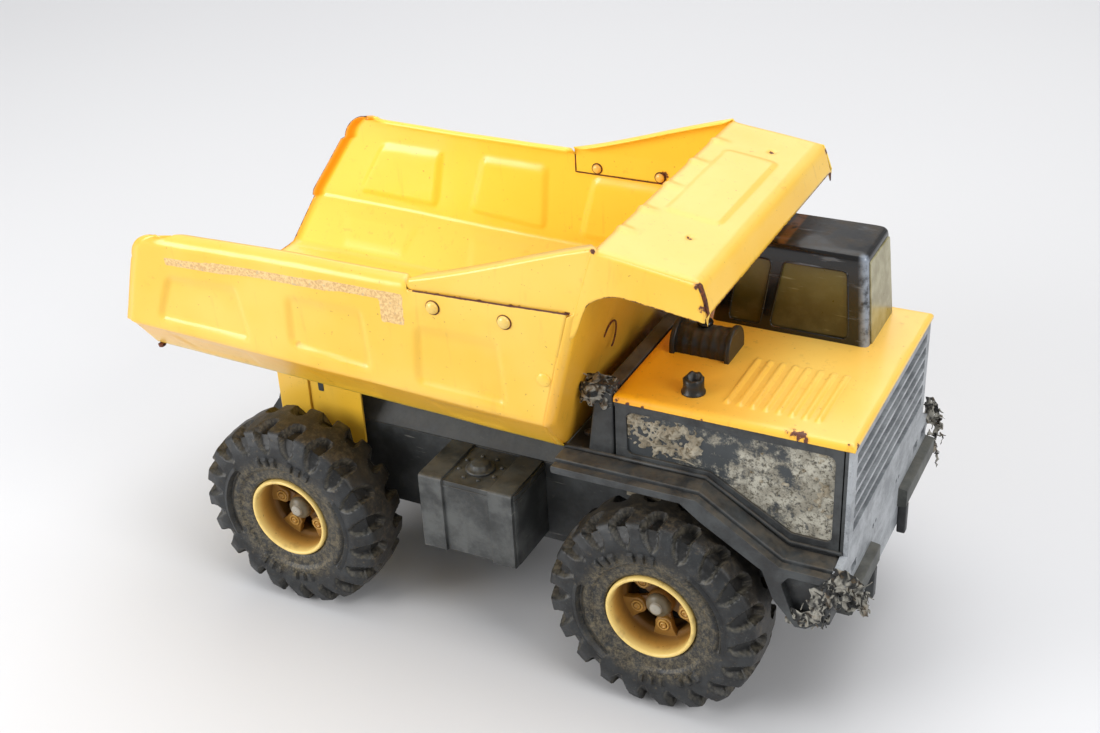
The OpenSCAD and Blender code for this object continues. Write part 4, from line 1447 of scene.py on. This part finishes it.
FENDER_OUTER = [
    (206, 165.5), (303, 165.5), (357, 131.5), (388, 131.5), (388, 90), (368, 87.4), (353.4, 104.4),
    (346, 123.3), (306.6, 147.4), (293, 157.7), (206, 157.7),
]
POCKET = [(366, 96), (384, 97), (384, 123), (363, 123), (358.5, 117)]
CHEWED_CORNER = [
    (386.5, 122), (389, 116), (385.5, 109), (388.5, 103), (385.5, 98), (386.5, 93), (380, 92), (375, 88),
]
LEDGE = 2.6                     # how much lower the fender's outer band is


def build_fender(side):
    """Fender: its raised inner top, its lower outer band and the pocket at its front corner."""
    name = SIDE_NAME[side]
    band = [(x, z - LEDGE if i < 4 else z) for i, (x, z) in enumerate(FENDER_OUTER)]
    if side == RIGHT:
        band[4:5] = CHEWED_CORNER
    slab(f"fender_band_{name}", [rounded(band, 1.5), rounded(POCKET, 2.5)], FENDER_HALF - 6.5, FENDER_HALF,
         on_side(side), 1.0, DUSTY_BLACK, nodes=[f"front_fender_{name}"])
    slab(f"fender_body_{name}", [rounded(FENDER_OUTER, 1.5)], PANEL_OUT, FENDER_HALF - 6.2, on_side(side),
         1.2, DUSTY_BLACK)


BUMPER = [
    (-66, 77), (84, 76), (93, 80), (91, 88), (99, 92), (96, 101), (104, 105), (100, 113), (107, 118),
    (103, 126), (PANEL_OUT, 133.2), (-PANEL_OUT, 133.2), (-104, 130), (-107, 124), (-98, 119), (-100, 112),
    (-90, 110), (-90, 103), (-81, 101), (-79, 92), (-71, 88),
]


def build_front():
    """The front face: a frame round six slots, the bumper with its bars, and their holes, with a near-black
    back behind the bumper's holes as painted shade.
    """
    outline = rect(-PANEL_OUT, 133, PANEL_OUT, 208.8)
    slots = [rounded(rect(-79, 146 + i * 9.6, 79, 153.2 + i * 9.6), 1.6) for i in range(6)]
    slab("grille_face", [outline, *slots], 389.6, FACE_X, on_front, 0.7, FRONT_REFLECTION_GREY, nodes=["grille"])
    slab("grille_back", [outline], 386.5, 389.8, on_front, 0.3, GRILLE_DARK)
    holes = []
    for side in (RIGHT, LEFT):
        for centre, half, low, radius in (
            (92, 5.5, 113, 1.2), (72, 5.5, 113, 1.2), (24, 1.5, 117, 0.8), (30, 1.5, 117, 0.8),
        ):
            holes.append(rounded(rect(side * centre - half, low, side * centre + half, 120), radius))
    slab("bumper_face", [rounded(BUMPER, 1, steps=2), *holes], 388, FACE_X, on_front, 0.8, FRONT_REFLECTION_GREY,
         nodes=["front_bumper"])
    back = rounded([(-86, 110), (-64, 84), (80, 80), (100, 92), (100, 128), (-100, 128)], 2)
    # A near-black back behind the bumper's holes: painted shade.
    slab("bumper_back", [back], 384, 388.2, on_front, 0.3, SHADE_BLACK)
    bar = rounded([(FACE_X - 1, 93), (398.8, 94), (398.8, 107), (FACE_X - 1, 108)], [0.3, 1.6, 1.6, 0.3])
    for side, low, high in ((RIGHT, -91, -32), (LEFT, 32, 104)):
        slab(f"bumper_bar_{SIDE_NAME[side]}", [bar], low, high, on_side(LEFT), 1.0, BAR_BLACK)


def frayed(name, path, height, push, crumple, holes, seed):
    """Chewed plastic: a torn sheet hanging along drawn points, crumpled and full of holes.
    push is the way its lower edge leans out, and holes is the share of it that is missing."""
    steps = 30 * (len(path) - 1)
    drops = 34
    points = []
    pale = []
    gone = []
    for i in range(steps):
        t = i / (steps - 1) * (len(path) - 1)
        k = min(int(t), len(path) - 2)
        top = Vector(path[k]).lerp(Vector(path[k + 1]), t - k)
        reach = height * (0.8 + 0.5 * rough(*top, 6, seed))
        for j in range(drops):
            d = j / (drops - 1)
            p = top + Vector(push) * d * d - Vector((0, 0, reach * d))
            loose = smooth(-0.1, 0.3, d)
            fold = Vector([rough(*p, 5.0, seed + n) for n in (1, 2, 3)]) * crumple
            crease = Vector([rough(*p, 1.9, seed + n) for n in (4, 5, 6)]) * crumple * 0.45
            q = p + (fold + crease) * loose
            points.append(tuple(q))
            pale.append(smooth(-0.3, 0.5, rough(*p, 3.0, seed + 5) + 0.3 * d))
            bite = 0.7 * rough(*p, 3.4, seed + 9) + 0.5 * rough(*p, 1.5, seed + 8)
            gone.append(bite > 0.55 - holes - 0.35 * d * d)
    faces = []
    for i in range(steps - 1):
        for j in range(drops - 1):
            a = i * drops + j
            if not (gone[a] or gone[a + drops]):
                faces.append((a, a + 1, a + drops + 1, a + drops))
    used = sorted({i for face in faces for i in face})
    index = {old: new for new, old in enumerate(used)}
    faces = [tuple(index[i] for i in face) for face in faces]
    marks = {"wear": [pale[i] for i in used]}
    thicken(new_piece(name, [points[i] for i in used], faces, TORN, marks=marks), 0.6)


TANK_X = (102, 175)
TANK_Z = (70, 126)
TANK_OUT = 101


TANK_CAP = [
    (10.2, 0.0), (10.2, 1.2), (9.2, 1.9), (8.8, 1.9), (8.6, 2.0),
    (6.6, 2.2), (6.2, 4.6), (5.6, 5.2), (0.3, 5.4),
]
CAP_X = 138
CAP_Y = 79


def build_tank(side):
    """A fuel tank with two straps, round edges, and a cap in a ring of studs."""
    name = SIDE_NAME[side]
    radii = [0.5, 0.5, 5, 3]
    body = rounded(rect(TANK_X[0], 56, TANK_X[1], TANK_OUT), radii)
    slab(f"tank_body_{name}", [body], *TANK_Z, lambda a, b, c: (a, side * b, c), 1.6, TANK_BLACK,
         nodes=[f"fuel_tank_{name}"])
    strap = rounded(rect(56, 68.4, TANK_OUT + 2.0, 127.6), [0.5, 3, 3, 0.5])
    for i, (rear, front) in enumerate(((103, 120.5), (156, 173.5))):
        slab(f"tank_strap_{name}_{i}", [strap], rear, front, lambda a, b, c: (c, side * a, b),
             0.8, TANK_BLACK)
    rim = rounded(rect(TANK_X[0] - 0.4, 57, TANK_X[1] + 0.4, TANK_OUT + 0.5), radii)
    slab(f"tank_rim_{name}", [rim], 120.5, 122.5, lambda a, b, c: (a, side * b, c), 0.6, TANK_BLACK)
    rings = []
    for r, h in TANK_CAP:
        ring = []
        for k, t in enumerate(turns(40)):
            knurl = 1 + (0.04 if 2.1 < h < 5 and k % 4 < 2 else 0)
            x = CAP_X + r * knurl * math.cos(t)
            y = side * CAP_Y + r * knurl * math.sin(t)
            ring.append((x, y, TANK_Z[1] + h))
        rings.append(ring)
    skin(f"tank_filler_{name}", rings, TANK_BLACK, nodes=[f"tank_cap_{name}"])
    for k in range(8):
        t = math.pi * (k + 0.5) / 4
        centre = (CAP_X + 14.5 * math.cos(t), side * CAP_Y + 14.5 * math.sin(t), TANK_Z[1])
        dome(f"tank_stud_{name}_{k}", centre, (0, 0, 1), 1.5, 1.5, TANK_BLACK)


for side in (RIGHT, LEFT):
    build_side_panel(side)
    build_mud(side)
    build_fender(side)
    build_tank(side)
build_front()


def shreds(name, centre, radii, count, length, fall, seed):
    """Thin curled strips torn out of the plastic, which mostly point along fall."""
    draw = random.Random(seed)
    points = []
    faces = []
    pale = []
    for _ in range(count):
        spot = Vector([draw.uniform(-1, 1) * r for r in radii]) + Vector(centre)
        ahead = (Vector([draw.uniform(-1, 1) for _ in range(3)]) + Vector(fall)).normalized()
        across = ahead.orthogonal().normalized()
        curl = draw.uniform(-2.2, 2.2)
        reach = length * draw.uniform(0.4, 1.3)
        width = draw.uniform(0.25, 0.7)
        shade = draw.uniform(0.0, 1.0)
        first = len(points)
        for k in range(8):
            t = k / 7
            bend = ahead.cross(across) * curl * reach * 0.4 * t * t + across * curl * reach * 0.2 * t ** 3
            half = width * (1 - 0.6 * t) * across
            points.append(tuple(spot + ahead * reach * t + bend - half))
            points.append(tuple(spot + ahead * reach * t + bend + half))
            pale += [shade, shade]
        for k in range(7):
            a = first + 2 * k
            faces.append((a, a + 1, a + 3, a + 2))
    thicken(new_piece(name, points, faces, TORN, marks={"wear": pale}), 0.5)


def build_damage():
    """Where the truck has been chewed: its front corners and the top of the right stanchion."""
    frayed("post_chewed", [(218, -84, 214), (226, -89, 218), (236, -88, 218), (242, -82, 215)],
           17, (0, -1, 0), 3.0, -0.12, 71)
    frayed("post_chewed_top", [(219, -76, 216), (229, -80, 220), (240, -78, 218)],
           8, (0, -8, 0), 3.0, -0.1, 75)
    frayed("post_chewed_rear", [(218, -76, 216), (217, -84, 215), (222, -88, 215)],
           14, (-1, 0, 0), 2.6, -0.1, 77)
    shreds("post_shreds", (230, -84, 215), (9, 5, 4), 9, 3.5, (0, 0, 0.3), 72)
    side_path = [(363, -105, 101), (372, -108, 100), (380, -108.5, 106), (387, -108, 120), (390, -107, 133)]
    frayed("corner_side", side_path, 12, (2, -1, 0), 3.2, -0.06, 81)
    frayed("corner_side_top", [(376, -106, 118), (383, -108, 124), (389, -108, 131)],
           22, (2, -1.5, 0), 3.0, -0.02, 86)
    frayed("corner_side_low", [(361, -105, 94), (372, -107, 96), (382, -107, 99), (388, -105, 106)],
           9, (0, 0, 0), 2.6, -0.02, 84)
    shreds("corner_side_shreds", (380, -107, 99), (9, 2.5, 7), 12, 4, (0.2, 0, -1), 82)
    frayed("corner_front", [(390, -109, 140), (397, -106, 137), (402, -101, 131), (405, -95, 122)],
           28, (3, -1, 0), 3.6, -0.02, 91)
    frayed("corner_front_low", [(394, -105, 122), (402, -100, 120), (408, -93, 116)],
           16, (2, 0, 0), 3.6, 0.0, 95)
    shreds("corner_front_shreds", (402, -99, 112), (7, 5, 11), 16, 4.5, (0.4, 0, -1), 92)
    frayed("far_corner", [(391, 99, 141), (395, 106, 138), (398, 110, 130), (400, 111.5, 117)],
           20, (2, 1, 0), 4.4, 0.26, 101)
    frayed("far_corner_side", [(390, 108, 134), (395, 111, 128), (400, 112, 118)],
           25, (2, 0, 0), 4.0, 0.28, 108)
    frayed("far_corner_low", [(394, 106, 112), (398, 109, 104), (400, 111, 96)],
           18, (1, 0, 0), 3.4, 0.16, 105)
    shreds("far_corner_shreds", (398, 110, 112), (3, 2, 20), 14, 3, (0.2, 0.1, -1), 102)


build_damage()

# ---- the wheels ----

TYRE_MID = 98.2
LUGS = 20
GROOVE_DEPTH = 6.2
TREAD_PROFILE = [
    (72.5, 0), (72.45, 4), (72.3, 8), (71.9, 12), (71.3, 16), (70.7, 18.4), (69.9, 19.6), (68.4, 20.6),
    (64.5, 22.2), (60.5, 23.7), (57.5, 24.1), (54, 23.6), (50, 22.8), (46, 22.2), (42.6, 21.8),
    (41.2, 21.4),
    (40.4, 20.4), (39.6, 19.7), (36.5, 19.4), (33.4, 19.2), (31.8, 18.6), (31.0, 17.2), (30.8, 14),
]


def along_profile(count_tread=30, count_side=26):
    """Points (r, a, q, normal) of half the tyre's outline, q being the way from its middle."""
    length = [0.0]
    for (r0, a0), (r1, a1) in zip(TREAD_PROFILE, TREAD_PROFILE[1:]):
        length.append(length[-1] + math.hypot(r1 - r0, a1 - a0))
    shoulder = 36.0
    places = spread(0, shoulder, count_tread) + spread(shoulder, length[-1], count_side)[1:]
    found = []
    for q in places:
        k = next((i for i in range(len(length) - 1) if q <= length[i + 1] + 1e-9), len(length) - 2)
        t = (q - length[k]) / (length[k + 1] - length[k])
        (r0, a0), (r1, a1) = TREAD_PROFILE[k], TREAD_PROFILE[k + 1]
        step = math.hypot(r1 - r0, a1 - a0)
        found.append((lerp(r0, r1, t), lerp(a0, a1, t), q, (a1 - a0) / step, -(r1 - r0) / step))
    return found


def groove_share(q, arc):
    """How deep in a groove a point is, from 0 to 1; arc is its distance from the groove's line."""
    start, end = 4.5, 37.0
    width = 4.8 + 0.5 * smooth(6, 18, q)
    if q < start + width:
        width = math.sqrt(max(width**2 - (start + width - q) ** 2, 0)) if q > start else -2
    if q > 24:
        narrowed = 4.3 * clamp((end - q) / (end - 30)) ** 0.7
        width = lerp(5.3, 4.3, clamp((q - 24) / 6)) if q < 30 else narrowed
    if q > end:
        return 0.0
    return smooth(width + 1.1, width - 1.1, abs(arc)) * smooth(start - 0.5, start + 0.5, q)


def skew(q):
    """The groove's line leans one way across the tread and back down the sidewall."""
    return -4.0 * (1 - clamp(q / 19)) - 4.5 * clamp((q - 19) / 14)


def side_relief(r, angle):
    """Raised marks on the sidewall: two arc ribs at the sides and plain bars above and below."""
    lift = 0.0
    for centre in (5, 180):
        off = abs((math.degrees(angle) - centre + 180) % 360 - 180)
        along = smooth(36, 33, off)
        lift += along * (1.6 * smooth(1.5, 0.7, abs(r - 50.4)) - 1.8 * smooth(1.9, 0.9, abs(r - 47.2)))
    for centre in (93, 270):
        off = (math.degrees(angle) - centre + 180) % 360 - 180
        for k in range(7):
            if k == 3:
                continue
            bar = abs(off - (k - 3) * 8.2)
            lift += 2.0 * smooth(2.7, 2.0, bar) * smooth(3.8, 3.1, abs(r - 47.2))
    return lift


def tyre_mesh(side):
    """One tyre, centred on its hub in the wheel's own frame, and cut with both rows of grooves."""
    half = along_profile()
    profile = [(r, -a, -q, nr, -na) for r, a, q, nr, na in reversed(half[1:])] + half
    columns = LUGS * 22
    points = []
    tread = []
    groove = []
    wear = []
    hub = []
    for r, a, q, nr, na in profile:
        row = 1 if q >= 0 else -1
        depth = lerp(GROOVE_DEPTH, 2.2, clamp((abs(q) - 20) / 15))
        for k in range(columns):
            angle = 2 * math.pi * k / columns
            pitch = 2 * math.pi / LUGS
            turn = angle - skew(abs(q)) / 68 - (0 if row > 0 else pitch / 2)
            off = ((turn / pitch + 0.5) % 1 - 0.5) * pitch * max(r, 56)
            share = groove_share(abs(q), off)
            chew = -0.5 * abs(rough(r * math.cos(angle), a, r * math.sin(angle), 9, seed=111))
            lift = chew - depth * share
            if row > 0 and r < 54:
                lift += side_relief(r, angle)
            rr = r + nr * lift
            aa = a + na * lift
            points.append((rr * math.cos(angle), side * (TYRE_MID + aa), rr * math.sin(angle)))
            tread.append(smooth(22, 14, abs(q)))
            groove.append(share)
            wear.append(clamp(4 * share * (1 - share)))
            hub.append(smooth(52, 42, r))
    faces = grid_faces(len(profile), columns, around=True)
    mesh = bpy.data.meshes.new(f"tyre_{SIDE_NAME[side]}")
    mesh.from_pydata([Vector(p) / 1000 for p in points], [], faces)
    paint(mesh, {"tread": tread, "groove": groove, "wear": wear, "hub": hub})
    mesh.shade_smooth()
    mesh.set_sharp_from_angle(angle=math.radians(38))
    if side == LEFT:
        mesh.flip_normals()
    return mesh


def wheel_piece(name, mesh, x, turn, material, body, nodes):
    """Hangs a mesh drawn about the hub on one wheel, turned about its axle."""
    mesh = mesh.copy()
    mesh.transform(Matrix.Translation(metres(x, 0, AXLE_Z)) @ Matrix.Rotation(math.radians(turn), 4, "Y"))
    return show(name, mesh, material, body, nodes)


RIM_PROFILE = [                 # radius, distance from the centre plane, depth in the dish, which darkens it as painted shade
    (30.7, 79, 0.9), (30.7, 104, 0.9), (30.7, 116.2, 0.2), (30.5, 117.8, 0),
    (29.9, 118.6, 0), (28.9, 118.7, 0), (28.1, 118.1, 0.02), (27.7, 117, 0.08),
    (27.4, 112, 0.4), (27.1, 107, 0.66), (26.7, 102, 0.86), (26.2, 99.4, 0.9),
    (24.8, 98.2, 0.95), (24.4, 96.5, 1.0), (24.6, 90, 1.0), (27.6, 88, 1.0), (28, 79, 1.0),
]


def rim_mesh(side):
    """The rim's barrel and, in it, five spokes with their bolt tabs and a hub, as one mesh."""
    points = []
    faces = []
    depth = []

    def turn_profile(profile, cx, cz, segments, close=False):
        """A shape turned about an axis through (cx, cz)."""
        first = len(points)
        for r, a, d in profile:
            for t in turns(segments):
                points.append((cx + r * math.cos(t), side * a, cz + r * math.sin(t)))
                depth.append(d)
        faces.extend(tuple(i + first for i in f) for f in grid_faces(len(profile), segments, around=True))
        if close:
            faces.append(tuple(range(len(points) - segments, len(points))))

    def block(outline, low, high, shade, angle, shrink=0.6):
        """A raised plate on a spoke, with a narrower top for its round edge."""
        first = len(points)
        centre = Vector((sum(p[0] for p in outline), sum(p[1] for p in outline))) / len(outline)
        c, s = math.cos(angle), math.sin(angle)
        for a, inset in ((low, 0), (high - 0.5, 0), (high - 0.1, 0.4), (high, shrink + 0.3)):
            for p in outline:
                out = Vector(p) - centre
                q = centre + out * (1 - inset / max(out.length, 0.1))
                points.append((q.x * c - q.y * s, side * a, q.x * s + q.y * c))
                depth.append(shade)
        count = len(outline)
        faces.extend(tuple(i + first for i in f) for f in grid_faces(4, count, around=True))
        faces.append(tuple(range(len(points) - count, len(points))))

    turn_profile(RIM_PROFILE, 0, 0, 96)
    turn_profile([(9.2, 94, 1.0), (9.2, 100.4, 0.95), (8.4, 101.6, 0.9), (2.4, 101.9, 0.9)], 0, 0, 40)
    spoke = rounded([(8, -4.6), (25.5, -6.4), (25.5, 6.4), (8, 4.6)], 0.8, steps=2)
    half_tab = [(12.6, 3.4), (15, 5.6), (19.5, 6.2), (27.0, 8.8)]
    tab = rounded([(a, -b) for a, b in half_tab] + half_tab[::-1], 1.8, steps=3)
    boss = [
        (4.2, 99.8, 0.5), (4.2, 100.9, 0.42), (3.8, 101.3, 0.4), (3.1, 101.2, 0.5), (2.8, 100.5, 0.8),
        (2.3, 100.4, 0.7), (2.1, 101.4, 0.4), (1.6, 101.8, 0.4), (1.1, 101.2, 0.6), (0.3, 101.1, 0.6),
    ]
    for angle in turns(5):
        # Spokes get the full painted shade of the dish, tabs a little less.
        block(spoke, 95, 97.6, 1.0, angle)
        block(tab, 96, 100.2, 0.72, angle)
        cx, cz = 17.6 * math.cos(angle), 17.6 * math.sin(angle)
        turn_profile(boss, cx, cz, 24, close=True)
    mesh = bpy.data.meshes.new(f"rim_{SIDE_NAME[side]}")
    mesh.from_pydata([Vector(p) / 1000 for p in points], [], faces)
    paint(mesh, {"depth": depth})
    mesh.shade_smooth()
    mesh.set_sharp_from_angle(angle=math.radians(50))
    return mesh


WHEEL_BACK = [(30.6, 79.4), (29.5, 78.4), (20, 78.2), (9, 78.6), (6.8, 66.2), (2.5, 66)]
HUB_CAP = [
    (8.3, 102.2), (8.5, 103.4), (8.0, 105.0), (6.6, 106.3), (4.4, 107.0),
    (4.1, 107.2), (4.1, 108.4), (3.6, 108.9), (1.2, 109.0), (0.2, 108.9),
]
NUB = [0, 0, 0, 0, 0, 1, 1, 1, 1, 1]    # 1 on the points of HUB_CAP that are its nub


def build_wheels():
    """The four wheels: tyre, rim, the dark back of the hub, seen between the spokes as painted shade, and
    the cap on the axle.
    """
    tyres = {side: tyre_mesh(side) for side in (RIGHT, LEFT)}
    rims = {side: rim_mesh(side) for side in (RIGHT, LEFT)}
    for end, x, tyre_turn, rim_turn in (("front", WHEELBASE, -18, -61), ("rear", 0, 7, -23)):
        for side in (RIGHT, LEFT):
            corner = f"{end}_{SIDE_NAME[side]}"
            body = "wheel_" + corner
            wheel_piece(f"tyre_lugged_{corner}", tyres[side], x, tyre_turn, TYRE, body, [f"tyre_{corner}"])
            wheel_piece(f"rim_dish_{corner}", rims[side], x, rim_turn, RIM, body, [f"rim_{corner}"])
            # The near-black back of the hub, seen between the spokes, is painted shade.
            turned(f"wheel_back_{corner}", WHEEL_BACK, (x, AXLE_Z), side, SHADE_BLACK, body, segments=48)
            nodes = ["axle_caps"] if corner == "front_right" else ()
            turned(f"hub_cap_{corner}", HUB_CAP, (x, AXLE_Z), side, CAP, "chassis", segments=40,
                   nodes=nodes, marks={"nub": NUB})


build_wheels()

# ---- the camera, the floor and the light ----

CAMERA_PLACE = (575.6, -793.6, 675.4)
CAMERA_TURN = 28.062
CAMERA_TILT = 29.513
CAMERA_ROLL = -2.954
LENS = 48.72


def build_camera():
    """The camera at the photograph's viewing angle, solved from the photograph."""
    camera = bpy.data.objects.new("camera", bpy.data.cameras.new("camera"))
    scene.collection.objects.link(camera)
    a = math.radians(CAMERA_TURN)
    e = math.radians(CAMERA_TILT)
    roll = math.radians(CAMERA_ROLL)
    right = Vector((math.cos(a), math.sin(a), 0))
    back = Vector((math.sin(a) * math.cos(e), -math.cos(a) * math.cos(e), math.sin(e)))
    up = back.cross(right)
    side = right * math.cos(roll) + up * math.sin(roll)
    top = up * math.cos(roll) - right * math.sin(roll)
    place = Matrix((side, top, back)).transposed().to_4x4()
    place.translation = metres(*CAMERA_PLACE)
    camera.matrix_world = place
    camera.data.lens = LENS
    camera.data.sensor_width = 36
    camera.data.clip_start = 0.01
    camera.data.clip_end = 50
    scene.camera = camera


def build_floor():
    """The plain pale floor."""
    mesh = bpy.data.meshes.new("studio_floor")
    size = 45.0
    corners = [(-size, -size, 0), (size, -size, 0), (size, size, 0), (-size, size, 0)]
    mesh.from_pydata(corners, [], [(0, 1, 2, 3)])
    floor = bpy.data.objects.new("studio_floor", mesh)
    scene.collection.objects.link(floor)
    f = Finish("studio_paper", "")
    f.set("Base Color", f.blend(f.noise(900, detail=1), srgb(212, 212, 214), srgb(216, 216, 217)))
    f.set("Roughness", 0.85)
    floor.data.materials.append(f.material)


def area_light(name, place, target, size, power, colour=(1, 1, 1)):
    """A square soft light that faces target."""
    data = bpy.data.lights.new(name, "AREA")
    data.size = size
    data.energy = power
    data.color = colour
    lamp = bpy.data.objects.new(name, data)
    scene.collection.objects.link(lamp)
    lamp.location = place
    lamp.rotation_mode = "QUATERNION"
    lamp.rotation_quaternion = (Vector(target) - Vector(place)).to_track_quat("-Z", "Y")


def build_light():
    """Soft studio light and a pale grey world."""
    area_light("key_softbox", (-1.35, -1.45, 0.85), (0, 0, 0.16), 1.0, 29)
    area_light("top_softbox", (0.2, 0.3, 2.7), (0.05, 0, 0.1), 2.6, 54)
    area_light("front_fill", (1.9, -0.6, 1.3), (0.15, 0, 0.15), 1.0, 18)
    area_light("backdrop_light", (-1.3, 2.9, 2.3), (-1.2, 2.6, 0), 2.6, 34)
    world = bpy.data.worlds.new("studio")
    world.use_nodes = True
    world.node_tree.nodes["Background"].inputs["Color"].default_value = (0.97, 0.98, 1.0, 1)
    world.node_tree.nodes["Background"].inputs["Strength"].default_value = 0.38
    scene.world = world
    scene.view_settings.view_transform = "Standard"


build_camera()
build_floor()
build_light()
